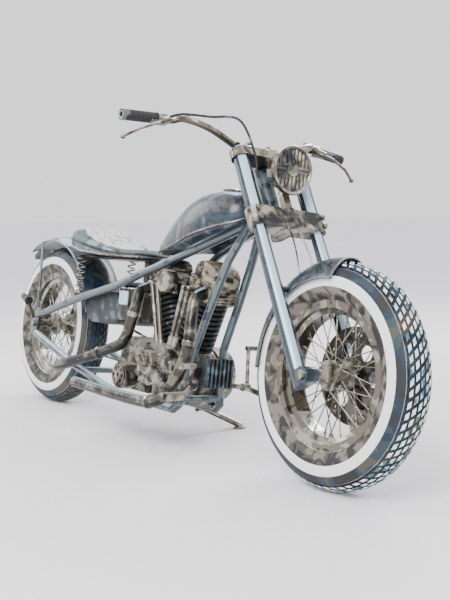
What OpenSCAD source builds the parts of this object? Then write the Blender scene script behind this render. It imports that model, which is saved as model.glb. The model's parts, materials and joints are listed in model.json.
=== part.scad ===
// Long-fork chopper motorcycle, parked on its side stand.
// Everything is drawn upright with the rear axle's centre at the origin, +X forward and
// +Y to the rider's left. parked() then leans the whole machine onto its stand.

/* [Overall] */
// Distance between the two axles
wheelbase = 1775; // [1700:5:1900]
// Radius of both tyres
wheel_r = 340; // [330:1:350]
// Lean to the left when it rests on its side stand, in degrees
lean = 8; // [6:0.5:10]
// Distance from the front of the rear tyre to the crankshaft
tyre_to_crank = 640; // [630:1:680]
// Height of the crankshaft below the axles
crank_drop = 95; // [85:1:105]

/* [Wheels] */
// Width of the tyre, which has a round section
tyre_w = 136; // [124:1:140]
// Thickness of the tyre's casing
tyre_wall = 12; // [8:1:16]
// Radius of the rim's bead seat
bead_r = 204; // [200:1:206]
// Height of the rim's flange above the bead seat
flange_h = 20; // [14:1:22]
// Wall of the rim
rim_wall = 4; // [3:0.5:6]
// Depth of the rim's well below the bead seat
well_depth = 16; // [10:1:20]
// Spokes in each wheel
spoke_count = 40; // [32:4:48]
// Radius of a spoke
spoke_r = 1.8; // [1.5:0.1:2]
// Radius of the hub's barrel
hub_r = 27; // [24:1:30]
// Radius of the hub's spoke flanges
hub_flange_r = 46; // [42:1:50]
// Radius of both axles
axle_r = 10; // [8:0.5:12]
// Radius of the front brake disc
disc_r = 150; // [130:1:155]
// Thickness of the brake disc
disc_t = 5; // [4:0.5:6]
// Radius of the rear sprocket
sprocket_r = 96; // [85:1:100]
// Radius of the gearbox sprocket
drive_sprocket_r = 38; // [30:1:42]
// Width of the chain
chain_w = 8; // [6:0.5:9]
// Height of the chain's side plates
chain_h = 12; // [10:1:14]

/* [Fork] */
// Angle of the fork back from the vertical, in degrees
rake = 30; // [28:0.5:33]
// How far the axle lies in front of the fork legs
axle_lead = 36; // [30:1:42]
// How far the fork legs lie in front of the steering axis
fork_offset = 50; // [45:1:55]
// Half the distance between the fork legs
fork_half = 120; // [118:1:126]
// Radius of a fork slider at the axle
slider_r = 25; // [23:0.5:25]
// Radius of a fork leg where it enters the lower tree
leg_r = 21; // [18:0.5:22]
// Radius of the covers between the trees
cover_r = 26; // [24:0.5:28]
// Distance along the fork from the axle to the middle of the lower tree
lower_tree_up = 546; // [530:1:570]
// Distance along the fork from the axle to the middle of the upper tree
upper_tree_up = 783; // [770:1:800]
// Height of the lower tree
lower_tree_h = 64; // [50:1:70]
// Height of the upper tree
upper_tree_h = 30; // [24:1:36]
// Radius of the steering stem
stem_r = 14; // [12:0.5:16]
// Radius of the frame's steering head
head_tube_r = 30; // [27:0.5:34]
// Radius of the handlebar's tube
bar_r = 12.7; // [11:0.1:14]
// Half the width over the ends of the grips
bar_half = 479; // [440:1:500]
// Height of the grips above the axles
bar_up = 742; // [720:1:760]
// Radius of the bores in the handlebar's two ends
bar_bore_r = 9.5; // [7:0.1:10]
// Depth of those bores
bar_bore_l = 40; // [25:1:60]
// Radius of the grips
grip_r = 18; // [16:0.5:20]
// Radius of the headlight's rim
lamp_r = 79; // [70:1:82]

/* [Frame] */
// Radius of the main frame tubes
tube_r = 15; // [13:0.5:16]
// Half the distance between the rear frame's tubes
rail_half = 130; // [126:1:136]
// Thickness of the plates that hold the rear axle
plate_t = 12; // [8:1:14]

/* [Bodywork] */
// Gap between the rear tyre and its fender's crown
rear_fender_gap = 42; // [30:1:50]
// Gap between the front tyre and its fender's crown
front_fender_gap = 9; // [7:1:12]
// Thickness of the fenders
fender_t = 3; // [2:0.5:4]
// Half the width of the rear fender
rear_fender_half = 85; // [80:1:86]
// Half the width of the front fender
front_fender_half = 80; // [78:1:82]
// Half the width of the tank at its widest
tank_half = 124; // [110:1:130]
// Rise of the tank's back above a straight line from its tail to its nose
tank_bulge = 101; // [85:1:110]
// Half the width of the seat at its widest
seat_half = 138; // [125:1:145]

/* [Engine] */
// Angle between the two cylinders, in degrees
vee = 45; // [42:1:50]
// Radius over the cylinders' fins
fin_r = 70; // [64:1:72]
// Distance from the crankshaft to the top of the cylinders
deck_up = 300; // [290:1:305]
// Radius of the crankcase
case_r = 106; // [98:1:107]
// Half the width of the crankcase
case_half = 75; // [70:1:80]
// Radius of the exhaust pipes
pipe_r = 21; // [18:0.5:22]

/* [Side stand] */
// Distance forward from the stand's pivot to its foot
stand_forward = 60; // [50:1:70]
// Distance outward from the stand's pivot to its foot
stand_out = 155; // [145:1:170]
// Radius of the stand's leg
stand_r = 11; // [9:0.5:12]
// Radius of the stand's foot
foot_r = 24; // [18:1:26]

/* [Hidden] */
$fn = 64;

// Clearances: seated pieces, running pins, moving pieces
seat_gap = 0.3;
pin_gap = 0.06;
moving_gap = 5;

tyre_r = tyre_w / 2;
core_r = wheel_r - tyre_r;
crank_x = wheel_r + tyre_to_crank;
crank = [crank_x, 0, -crank_drop];

// Wheels: half-widths from the middle plane
rim_half = 47;
well_half = 22;
flange_r = bead_r + flange_h;
well_r = bead_r - well_depth;
hub_flange_y = 32.5;
hub_flange_t = 9;
front_hub_half = 60;
disc_y = 68;
lace_angle = 40.5;
spoke_hub_r = 40;
spoke_side_step = 3;
spoke_rim_y = 8;
spacer_r = 17;

// Fork, measured along the legs from the axle
stem_x = -(axle_lead + fork_offset);
slider_top = 120;
lower_tree_bottom = lower_tree_up - lower_tree_h / 2;
lower_tree_top = lower_tree_up + lower_tree_h / 2;
upper_tree_bottom = upper_tree_up - upper_tree_h / 2;
upper_tree_top = upper_tree_up + upper_tree_h / 2;
lug_half = slider_r;
tree_wall = 12;
head_bottom = lower_tree_top + moving_gap;
head_top = upper_tree_bottom - moving_gap;

// A point given along the fork, as a point of the upright machine
function fork_point(x, y, up) = [
    wheelbase + x * cos(rake) - up * sin(rake), y, x * sin(rake) + up * cos(rake)
];
head_low = fork_point(stem_x, 0, head_bottom);
head_high = fork_point(stem_x, 0, head_top);
head_mid = (head_low + head_high) / 2;

// Handlebar: its clamp, its rise, its outer bends and its grips
riser_y = 42;
bar_clamp = fork_point(stem_x + 8, 0, upper_tree_top + 42);
bar_side = [
    [bar_clamp[0], 0, bar_clamp[2]],
    [bar_clamp[0], 70, bar_clamp[2]],
    [bar_clamp[0] + 2, 120, bar_clamp[2] + 18],
    [bar_clamp[0] + 2, 190, bar_clamp[2] + 44],
    [bar_clamp[0] - 6, 228, bar_clamp[2] + 56],
    [bar_clamp[0] - 30, 254, bar_clamp[2] + 66],
    [bar_clamp[0] - 70, 270, bar_clamp[2] + 74],
    [bar_clamp[0] - 92, 290, bar_up + 14],
    [bar_clamp[0] - 98, 318, bar_up + 12],
    [bar_clamp[0] - 104, bar_half - 4, bar_up],
];
grip_l = 128;
bar_end = bar_side[9];
bar_bend = bar_side[8];
grip_dir = (bar_end - bar_bend) / norm(bar_end - bar_bend);
ball_r = 9;
ball = [bar_end[0] + 52, bar_half + 12, bar_up - 75];

// Frame tubes of the left side; the right side is their mirror image
split_x = crank_x - 250;
rear_fender_r = wheel_r + rear_fender_gap + fender_t;
bottom_half = 92;
upper_rail = [
    [14, rail_half, 36], [81, rail_half, 52], [wheel_r + 58, rail_half, 137],
    [crank_x - 307, rail_half, 200], [crank_x - 180, rail_half - 12, 246],
    [crank_x - 58, 92, 293], [crank_x + 85, 58, 352],
    [head_low[0] - 16, 16, head_low[2] + 12],
];
lower_rail = [
    [14, rail_half, -44], [wheel_r + 25, rail_half, -134], [crank_x - 340, rail_half, -187],
    [crank_x - 170, rail_half, -209], [crank_x - 100, bottom_half, -211],
    [crank_x + 85, bottom_half, -211], [crank_x + 112, bottom_half - 4, -190],
    [crank_x + 126, 72, -85], [crank_x + 141, 62, 10], [crank_x + 178, 60, 100],
    [crank_x + 212, 58, 178], [crank_x + 272, 50, 322],
    upper_rail[6] + (upper_rail[7] - upper_rail[6]) * 0.76,
];
cross_r = 12;
cross_angle = 19;
fender_cross = (rear_fender_r + cross_r + seat_gap) * [cos(cross_angle), 0, sin(cross_angle)];
seat_cross = [crank_x - 292, 0, 206];
low_cross = [wheel_r + 110, 0, -150];
strut_r = 6;
strut_angle = 102;

// Gearbox and final drive
box_x = crank_x - 235;
box_z = -85;
sprocket_y = 92;
plate_y = rail_half - 3;

// Engine
vee_half = vee / 2;
barrel_low = case_r + 12;
head_h = 72;
head_half_x = 68;
head_half_y = 60;
rocker_h = 58;
rocker_half_x = 70;
rocker_half_y = 50;
fin_count = 9;
cam_y = 148;
primary_in = 100;
primary_out = 162;

// Tank, from its tail to its nose over the top rails
tank_tail_x = crank_x - 195;
tank_nose_x = head_low[0] - 78;
tank_slope = 0.3;
tank_base_z = 358;
tank_tail_slope = 0.05;
tank_tail_z = 326;
tank_tail_top = 334;
tank_nose_top = 538;
tank_rings = 30;
tank_sides = 32;
tunnel_half = 80;
tunnel_h = 34;

// Seat, from its back rim to its nose
seat_back_x = wheel_r - 135;
seat_nose_x = crank_x - 232;
seat_base_z = 306;
seat_nose_z = 344;
seat_rim_z = 422;
seat_pan_t = 6;
seat_rings = 26;
seat_sides = 28;
spring_r = 19;
spring_x = wheel_r + 8;

// Side stand: where it turns, where its foot stands, and where its leg goes when folded
stand_pivot = [crank_x - 75, 135, -225];
function ground_z(y) = y * tan(lean) - wheel_r - tyre_r * (1 / cos(lean) - 1);
foot_t = 8;
foot_y = stand_pivot[1] + stand_out;
stand_foot = [stand_pivot[0] + stand_forward, foot_y, ground_z(foot_y)];
function unit(v) = v / norm(v);
stand_ankle = stand_foot + [0, 0, foot_t + 3];
stand_down = unit(stand_ankle - stand_pivot);
stand_folded = unit([-0.98, 0.2, 0]);
stand_swing = stand_down - stand_folded;
stand_axis = unit([-0.1, (0.1 * stand_swing[0] - stand_swing[2]) / stand_swing[1], 1]);

// ---------- helpers ----------

// Leans the upright machine onto its stand, over the middle of its footprint
module parked() {
    translate([-wheelbase / 2, -ball[2] * sin(lean), core_r * cos(lean) + tyre_r])
        rotate([-lean, 0, 0]) children();
}

module on_fork() {
    translate([wheelbase, 0, 0]) rotate([0, -rake, 0]) children();
}

module both_sides() {
    children();
    mirror([0, 1, 0]) children();
}

// Stands the children, drawn along +Z, on a and points them at b
module from_to(a, b) {
    v = b - a;
    translate(a) rotate([0, acos(v[2] / norm(v)), atan2(v[1], v[0])]) children();
}

module rod(a, b, r) {
    from_to(a, b) cylinder(r = r, h = norm(b - a));
}

// A round tube through a list of points, with a ball at each bend
module bent_tube(points, r) {
    for (i = [0 : len(points) - 2]) rod(points[i], points[i + 1], r);
    for (i = [1 : 1 : len(points) - 2]) translate(points[i]) sphere(r + 0.3);
}

// A disc or drum whose axis lies across the machine, from y0 to y1
module across(x, z, y0, y1, r) {
    translate([x, y0, z]) rotate([-90, 0, 0]) cylinder(r = r, h = y1 - y0);
}

// The outline of a belt round two circles
module belt2d(p, rp, q, rq) {
    d = norm(q - p);
    turn = atan2(q[1] - p[1], q[0] - p[0]);
    a = acos((rp - rq) / d);
    steps = 24;
    polygon(concat(
        [for (i = [0 : steps]) let (b = turn + a + (360 - 2 * a) * i / steps)
            p + rp * [cos(b), sin(b)]],
        [for (i = [0 : steps]) let (b = turn - a + 2 * a * i / steps)
            q + rq * [cos(b), sin(b)]]
    ));
}

// A flat outline in X and Z, made as thick as the gap from y0 to y1
module slab(y0, y1) {
    translate([0, y1, 0]) rotate([90, 0, 0]) linear_extrude(y1 - y0) children();
}

// A closed skin over rings of points that all have as many points
module lofted(rings) {
    n = len(rings[0]);
    m = len(rings);
    polyhedron(
        points = [for (ring = rings) each ring],
        faces = concat(
            [[for (j = [0 : n - 1]) j]],
            [for (i = [0 : m - 2]) for (j = [0 : n - 1])
                [i * n + j, (i + 1) * n + j, (i + 1) * n + (j + 1) % n]],
            [for (i = [0 : m - 2]) for (j = [0 : n - 1])
                [i * n + j, (i + 1) * n + (j + 1) % n, i * n + (j + 1) % n]],
            [[for (j = [n - 1 : -1 : 0]) (m - 1) * n + j]]
        )
    );
}

// One ring of a round line: the middle at p, the line running along ahead
function ring_at(p, ahead, r, sides) = let (
        side = unit(cross(ahead, [0, 0.3, 1])),
        other = cross(ahead, side)
    ) [for (j = [0 : sides - 1])
        p + r * (cos(-j * 360 / sides) * side + sin(-j * 360 / sides) * other)];

function ahead_at(points, i) =
    unit(points[min(i + 1, len(points) - 1)] - points[max(i - 1, 0)]);

// A smooth round line through a list of points
module hose(points, r, sides = 8) {
    lofted([for (i = [0 : len(points) - 1])
        ring_at(points[i], ahead_at(points, i), r, sides)]);
}

// The same, with its far end open to a given depth
module open_pipe(points, r, wall, depth, sides = 16) {
    n = len(points) - 1;
    back = ahead_at(points, n);
    lofted(concat(
        [for (i = [0 : n]) ring_at(points[i], ahead_at(points, i), r, sides)],
        [ring_at(points[n], back, r - wall, sides),
         ring_at(points[n] - depth * back, back, r - wall, sides)]
    ));
}

// Smooth points through a short list of chosen ones
function smooth_at(p, i, t) = let (
        a = p[max(i - 1, 0)], b = p[i], c = p[i + 1], d = p[min(i + 2, len(p) - 1)]
    ) 0.5 * (2 * b + (c - a) * t + (2 * a - 5 * b + 4 * c - d) * t * t
        + (3 * b - a - 3 * c + d) * t * t * t);
function smooth_path(p, steps) = concat(
    [for (i = [0 : len(p) - 2]) for (s = [0 : steps - 1]) smooth_at(p, i, s / steps)],
    [p[len(p) - 1]]
);

// ---------- frame ----------

module axle_plate2d() {
    belt2d([6, 44], 20, [2, -50], 20);
    belt2d([0, 0], 28, [6, 20], 24);
}

module frame_tubes() {
    both_sides() {
        bent_tube(upper_rail, tube_r);
        bent_tube(lower_rail, tube_r);
        slab(plate_y - plate_t / 2, plate_y + plate_t / 2) axle_plate2d();
        rod([2, plate_y, 60],
            (rear_fender_r - 22) * [cos(strut_angle), 0, sin(strut_angle)]
                + [0, rear_fender_half + strut_r + seat_gap, 0], strut_r);
    }
    across(fender_cross[0], fender_cross[2], -rail_half, rail_half, cross_r);
    across(seat_cross[0], seat_cross[2], -rail_half, rail_half, cross_r);
    across(low_cross[0], low_cross[2], -rail_half, rail_half, cross_r);
    across(lower_rail[6][0] + 3, -170, -bottom_half, bottom_half, cross_r);
    from_to(head_low, head_high) cylinder(r = head_tube_r, h = norm(head_high - head_low));
    // Lugs that hold the engine at its four corners
    both_sides() for (x = [crank_x - 82, crank_x + 42])
        translate([x, case_half + seat_gap, -209])
            cube([36, bottom_half - case_half - seat_gap, 26]);
    // The bracket and the pin that carry the side stand
    translate(stand_pivot) from_to([0, 0, 0], stand_axis)
        translate([0, 0, stand_r + 6]) cylinder(r = 16, h = 10);
    rod(stand_pivot - stand_axis * (stand_r + 12), stand_pivot + stand_axis * (stand_r + 11), 8);
    translate([stand_pivot[0] - 16, bottom_half, -204]) cube([32, 66, 13]);
}

module frame_whole() {
    difference() {
        frame_tubes();
        rod(head_low - unit(head_high - head_low) * 5,
            head_high + unit(head_high - head_low) * 5, stem_r + pin_gap);
        across(0, 0, -rail_half - 40, rail_half + 40, axle_r + seat_gap);
    }
}

module front_frame() {
    color("slategray") intersection() {
        frame_whole();
        translate([split_x, -500, -500]) cube([2000, 1000, 2000]);
    }
}

module rear_frame() {
    color("slategray") intersection() {
        frame_whole();
        translate([split_x - 2000, -500, -500]) cube([2000, 1000, 2000]);
    }
}

module rear_axle() {
    out = plate_y + plate_t / 2;
    color("silver") {
        across(0, 0, -out - 14, out + 14, axle_r);
        across(0, 0, out + seat_gap, out + 14, 15);
        across(0, 0, -out - 14, -out - seat_gap, 15);
    }
}

// ---------- tank and seat ----------

// Rounds a form off at both of its ends
function end_round(u, tail, nose) =
    u < tail ? sqrt(max(0, 1 - pow(1 - u / tail, 2)))
    : u > 1 - nose ? sqrt(max(0, 1 - pow(1 - (1 - u) / nose, 2))) : 1;

function tank_top(u) =
    tank_tail_top + (tank_nose_top - tank_tail_top) * u + tank_bulge * sin(180 * u);

function tank_ring(u) = let (
        x = tank_tail_x + u * (tank_nose_x - tank_tail_x),
        e = max(0.12, end_round(u, 0.1, 0.12)),
        base = max(tank_tail_z + (x - tank_tail_x) * tank_tail_slope,
            tank_base_z + (x - crank_x - 85) * tank_slope),
        h = tank_top(u) - base,
        w = e * (48 + 30 * u + (tank_half - 65) * sin(180 * pow(u, 1.15))),
        waist = base + h * 0.34,
        top = waist + (base + h - waist) * e,
        low = waist - (waist - base) * e
    ) [for (j = [0 : tank_sides - 1]) let (
            a = -j * 360 / tank_sides,
            y = w * sign(cos(a)) * pow(abs(cos(a)), 0.72),
            lift = e * tunnel_h * max(0, 1 - pow(y / tunnel_half, 4)),
            z = sin(a) >= 0 ? waist + (top - waist) * pow(sin(a), 0.9)
                : waist - (waist - low) * pow(-sin(a), 0.55) + lift * pow(-sin(a), 2)
        ) [x, y, z]];

module fuel_tank() {
    color("steelblue") lofted([for (i = [0 : tank_rings]) tank_ring(i / tank_rings)]);
}

module fuel_cap() {
    u = 0.7;
    cap_x = tank_tail_x + u * (tank_nose_x - tank_tail_x);
    color("silver") translate([cap_x, 0, tank_top(u) + 1]) rotate([0, 2, 0]) {
        cylinder(r = 30, h = 8);
        translate([0, 0, 8]) cylinder(r1 = 28, r2 = 20, h = 5);
    }
}

function seat_width(u) = seat_half * (0.36 + 0.64 * pow(cos(min(90, 100 * abs(u - 0.27))), 1.6))
    * max(0.1, end_round(u, 0.14, 0.07));

function seat_ring(u) = let (
        x = seat_back_x + u * (seat_nose_x - seat_back_x),
        w = seat_width(u),
        e = max(0.2, end_round(u, 0.1, 0.08)),
        rim = seat_nose_z + (seat_rim_z - seat_nose_z) * pow(cos(min(90, 150 * max(0, u - 0.12))), 2),
        dip = 16 * exp(-pow((u - 0.4) / 0.2, 2)),
        low = seat_base_z + 40 * pow(max(0, 1 - u / 0.3), 1.5)
    ) [for (j = [0 : seat_sides - 1]) let (
            a = -j * 360 / seat_sides,
            s = sin(a),
            y = w * sign(cos(a)) * pow(abs(cos(a)), 0.7),
            top = rim - dip * (1 - pow(y / max(w, 1), 2)),
            mid = low + (top - low) * 0.4
        ) [x, y, s >= 0 ? mid + (top - mid) * e * pow(s, 0.6)
            : mid - (mid - low) * e * pow(-s, 0.6)]];

module seat_cushion() {
    color("gainsboro") lofted([for (i = [0 : seat_rings]) seat_ring(i / seat_rings)]);
}

module seat_pan() {
    plan = [for (i = [0 : 20]) let (u = 0.16 + 0.82 * i / 20)
        [seat_back_x + u * (seat_nose_x - seat_back_x), 0.86 * seat_width(u)]];
    pan_top = seat_base_z - seat_gap;
    color("dimgray") {
        translate([0, 0, pan_top - seat_pan_t]) linear_extrude(seat_pan_t)
            polygon(concat(plan, [for (i = [20 : -1 : 0]) [plan[i][0], -plan[i][1]]]));
        // The nose bracket stands on the seat's cross tube
        translate([seat_cross[0] - 15, -22, seat_cross[2] + cross_r + seat_gap])
            cube([30, 44, pan_top - seat_pan_t - seat_cross[2] - cross_r - seat_gap + 1]);
        // The springs stand on the upper frame rails
        both_sides() {
            translate([spring_x, rail_half - 12, spring_foot_z])
                cylinder(r = spring_r, h = pan_top - 1 - spring_foot_z);
            translate([spring_x, rail_half - 34, pan_top - seat_pan_t])
                translate([-spring_r, -30, 0]) cube([2 * spring_r, 40, seat_pan_t]);
        }
    }
}
spring_foot_z = upper_rail[1][2] + (spring_x - upper_rail[1][0])
    * (upper_rail[2][2] - upper_rail[1][2]) / (upper_rail[2][0] - upper_rail[1][0])
    + tube_r + 6;

// ---------- fenders and lights ----------

// The section of a fender: a crown over two skirts, as radius and half-width
module fender_section(crown, edge, half, t) {
    steps = 12;
    function arc(r0, r1, w) = [for (i = [-steps : steps])
        let (s = i / steps) [r0 - (r0 - r1) * pow(abs(s), 2.4), s * w]];
    polygon(concat(arc(crown, edge, half), [for (i = [2 * steps : -1 : 0])
        arc(crown - t, edge, half - t)[i]]));
}

// Sweeps a fender section round an axle, from one angle above the front to another
module fender_arc(a0, a1) {
    rotate([90, 0, 0]) rotate([0, 0, a0]) rotate_extrude(angle = a1 - a0) children();
}

rear_fender_from = 12;
rear_fender_to = 122;
module rear_fender() {
    color("steelblue") fender_arc(rear_fender_from, rear_fender_to)
        fender_section(rear_fender_r, rear_fender_r - 20, rear_fender_half, fender_t);
}

front_fender_from = 88;
front_fender_to = 182;
module front_fender() {
    crown = wheel_r + front_fender_gap + fender_t;
    lug_up = 300;
    color("steelblue") {
        translate([wheelbase, 0, 0]) fender_arc(front_fender_from, front_fender_to)
            fender_section(crown, crown - 66, front_fender_half, fender_t);
        // Lugs reach out to the fork legs
        on_fork() both_sides() across(-axle_lead, lug_up, front_fender_half - 9,
            fork_half - slider_r + 1, 9);
    }
}

tail_low = rear_fender_r * [cos(rear_fender_to - 3), 0, sin(rear_fender_to - 3)];
module tail_light() {
    color("dimgray") translate(tail_low + [-4, 0, -1.4]) rotate([0, -31, 0]) {
        translate([-112, -22, 0]) cube([104, 44, 20]);
        translate([-20, -10, 2]) cube([34, 20, 7]);
    }
}

module rear_indicators() {
    color("dimgray") both_sides() {
        rod([-8, plate_y + plate_t / 2 + strut_r + seat_gap, 24], [-66, plate_y + 18, 94], strut_r);
        translate([-80, plate_y + 20, 100]) rotate([0, -72, 0])
            cylinder(r1 = 19, r2 = 12, h = 62, center = true);
    }
}

lamp_up = 622;
lamp_x = 1482 - 1775 + wheelbase;
module headlight_shell() {
    depth = 88;
    color("gray") {
        translate([lamp_x, 0, lamp_up]) rotate([0, 90, 0]) rotate_extrude() polygon([
            [0, -depth], [34, -depth], [56, -depth + 22], [70, -30], [lamp_r, -14], [lamp_r, 0],
            [lamp_r - 7, 0], [lamp_r - 7, -12], [0, -12],
        ]);
        // The bracket stands on the lower tree
        on_fork() translate([-26, -14, lower_tree_top + seat_gap]) cube([22, 28, 84]);
    }
}

module headlight_lens() {
    color("lightgray") translate([lamp_x, 0, lamp_up]) rotate([0, 90, 0])
        translate([0, 0, -12 + seat_gap]) cylinder(r = lamp_r - 7 - seat_gap, h = 9);
}

// ---------- engine ----------

// Draws a piece on one cylinder's axis, +1 in front and -1 behind
module on_cylinder(way) {
    translate(crank) rotate([0, way * vee_half, 0]) children();
}

module crankcase() {
    color("gray") difference() {
        union() {
            across(crank_x, -crank_drop, -case_half, case_half, case_r);
            translate([crank_x - 90, -case_half, -crank_drop - case_r + 4])
                cube([180, 2 * case_half, 70]);
            for (way = [-1, 1]) difference() {
                on_cylinder(way) translate([0, 0, 60])
                    cylinder(r = fin_r - 8, h = barrel_low - 60 - 2 * seat_gap);
                beyond_middle(way);
            }
        }
        across(crank_x, -crank_drop - case_r - 20, -200, 200, 22);
    }
}

// The barrel's outline with its fins, as radius and distance from the crankshaft
module barrel_section() {
    pitch = (deck_up - barrel_low) / (fin_count * 2 + 1);
    polygon(concat([[0, barrel_low]], [for (i = [0 : fin_count])
        each let (z = barrel_low + 2 * i * pitch)
            [[fin_r, z], [fin_r, z + pitch], [fin_r - 16, z + pitch],
             [fin_r - 16, min(z + 2 * pitch, deck_up)]]],
        [[0, deck_up]]));
}

// What lies past the plane between the two cylinders
module beyond_middle(way) {
    translate([crank_x - (way > 0 ? 200 : -1), -200, -200]) cube([199, 400, 600]);
}

module cylinders() {
    color("dimgray") for (way = [-1, 1]) difference() {
        on_cylinder(way) rotate_extrude() barrel_section();
        beyond_middle(way);
    }
}

module cylinder_heads() {
    low = deck_up + seat_gap;
    color("tan") for (way = [-1, 1]) on_cylinder(way) translate([0, 0, low])
        rotate([90, 0, 0]) linear_extrude(2 * head_half_y, center = true) polygon([
            [-head_half_x + 10, 0], [head_half_x - 10, 0], [head_half_x, 12],
            [head_half_x, head_h - 10], [head_half_x - 8, head_h - seat_gap],
            [-head_half_x + 8, head_h - seat_gap], [-head_half_x, head_h - 10],
            [-head_half_x, 12],
        ]);
}

module rocker_boxes() {
    low = deck_up + head_h + seat_gap;
    color("tan") for (way = [-1, 1]) on_cylinder(way) translate([0, 0, low])
        rotate([90, 0, 0]) linear_extrude(2 * rocker_half_y, center = true) polygon([
            [-rocker_half_x, 0], [rocker_half_x, 0], [rocker_half_x, 26],
            [rocker_half_x - 14, 46], [rocker_half_x - 34, rocker_h],
            [-rocker_half_x + 34, rocker_h], [-rocker_half_x + 14, 46], [-rocker_half_x, 26],
        ]);
}

module cam_cover() {
    color("silver") {
        slab(-cam_y + 22, -case_half - seat_gap) cam_outline(0);
        across(crank_x - 35, -crank_drop + 33, -cam_y, -cam_y + 23, 44);
        across(crank_x + 56, -crank_drop + 2, -cam_y + 6, -cam_y + 23, 28);
    }
}

module cam_outline(grow) {
    belt2d([crank_x - 62, -crank_drop + 10], 62 + grow, [crank_x + 50, -crank_drop + 12], 54 + grow);
    belt2d([crank_x - 20, -crank_drop + 44], 62 + grow, [crank_x + 30, -crank_drop + 36], 64 + grow);
}

module gearbox() {
    color("gray") {
        difference() {
            slab(-case_half, case_half) polygon([
                [box_x - 95, -140], [box_x - 70, -185], [crank_x - 120, -185],
                [crank_x - 120, -60], [crank_x - 150, 0], [box_x - 40, 12], [box_x - 95, -30],
            ]);
            across(crank_x, -crank_drop, -200, 200, case_r + seat_gap);
        }
        across(box_x, box_z, case_half - 1, sprocket_y + chain_w / 2 + 1,
            drive_sprocket_r + 2 - seat_gap);
    }
}

module gearbox_cover() {
    hole_r = 7;
    cover_z = -133;
    color("tan") difference() {
        union() {
            across(box_x, cover_z, -130, -case_half - seat_gap, 50);
            across(box_x, cover_z, -138, -129, 43);
        }
        for (i = [0 : 7]) translate([box_x + 29 * cos(i * 45), 0, cover_z + 29 * sin(i * 45)])
            across(0, 0, -150, -118, hole_r);
        across(box_x, cover_z, -150, -118, hole_r);
    }
}

module primary_cover() {
    color("silver") difference() {
        slab(primary_in, primary_out)
            belt2d([crank_x, -crank_drop], 95, [box_x, box_z], 94);
        slab(primary_in - 1, primary_in + 1)
            belt2d([crank_x, -crank_drop], 60, [box_x, box_z], 56);
    }
    // The drive's neck meets the crankcase
    color("silver") across(crank_x, -crank_drop, case_half + seat_gap, primary_in + 2, 64);
}

module pushrod_tubes() {
    push_y = -96;
    color("silver") for (way = [-1, 1]) for (k = [0, 1]) difference() {
        foot = crank + [5 + way * (50 - 26 * k), push_y, 84];
        top = crank + [way * sin(vee_half), 0, cos(vee_half)] * (deck_up + 34)
            + [-way * (10 + 34 * k), push_y, 0];
        union() {
            rod(foot, top, 8);
            rod(foot, foot + (top - foot) * 0.22, 12);
            // The cap turns in to the side of the head
            rod(top, [top[0], -head_half_y - seat_gap, top[2]], 9);
            translate(top) sphere(9.3);
        }
        slab(-cam_y, -case_half) cam_outline(seat_gap);
    }
}

module carburettor() {
    z = 234;
    color("gray") {
        across(crank_x, z, -92, 30, 24);
        across(crank_x, z, -128, -91, 40);
        translate([crank_x - 16, -72, z - 44]) cube([32, 40, 30]);
        // The manifold ends on the inner faces of both heads
        difference() {
            rod([crank_x - 90, 0, z], [crank_x + 90, 0, z], 17);
            for (way = [-1, 1]) on_cylinder(way)
                translate([way > 0 ? -head_half_x - seat_gap : head_half_x + seat_gap - 200,
                           -30, deck_up - 20]) cube([200, 60, 120]);
        }
    }
}

port_x = 180;
rear_pipe = [
    [crank_x - port_x, -head_half_y - 2 * seat_gap, 200], [crank_x - port_x, -70, 200],
    [crank_x - port_x, -80, 200],
    [crank_x - port_x + 2, -110, 184], [crank_x - 170, -124, 140], [crank_x - 184, -134, 60],
    [crank_x - 204, -140, 8],
    [crank_x - 260, -148, -32], [wheel_r + 90, -172, -123], [wheel_r - 5, -176, -146],
];
front_pipe = [
    [crank_x + port_x, -head_half_y - 2 * seat_gap, 200], [crank_x + port_x, -70, 200],
    [crank_x + port_x, -80, 200],
    [crank_x + port_x + 4, -112, 178], [crank_x + 196, -128, 110], [crank_x + 208, -138, 30],
    [crank_x + 196, -150, -50],
    [crank_x + 160, -166, -130], [crank_x + 96, -178, -182], [crank_x - 60, -182, -196],
    [crank_x - 480, -184, -192],
];
module exhaust_pipes() {
    pipe_steps = 3;
    color("darkgray") for (route = [rear_pipe, front_pipe])
        open_pipe(smooth_path(route, pipe_steps), pipe_r, 2.5, 20);
}

module oil_tank() {
    round_r = 64;
    back = [fender_cross[0], fender_cross[2]]
        + (round_r + cross_r + seat_gap) * [cos(-16), sin(-16)];
    front = [crank_x - 328 - round_r - seat_gap, back[1]];
    color("dimgray") slab(-98, 98) belt2d(back, round_r, front, round_r);
}

module battery_box() {
    color("lightblue") {
        translate([crank_x - 330 + 2, -108, 70]) cube([96, 86, 120]);
        translate([crank_x - 318, -113, 124]) cube([72, 6, 62]);
    }
}

module regulator() {
    color("dimgray") {
        translate([crank_x + 172, -55, -120]) cube([12, 110, 100]);
        for (i = [0 : 6]) translate([crank_x + 183, -55 + i * 17, -120]) cube([34, 8, 100]);
        // Its brackets reach back to the downtubes
        both_sides() difference() {
            translate([lower_rail[7][0] - 4, 50, -85]) cube([50, 26, 30]);
            bent_tube(lower_rail, tube_r + seat_gap);
        }
    }
}

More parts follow.
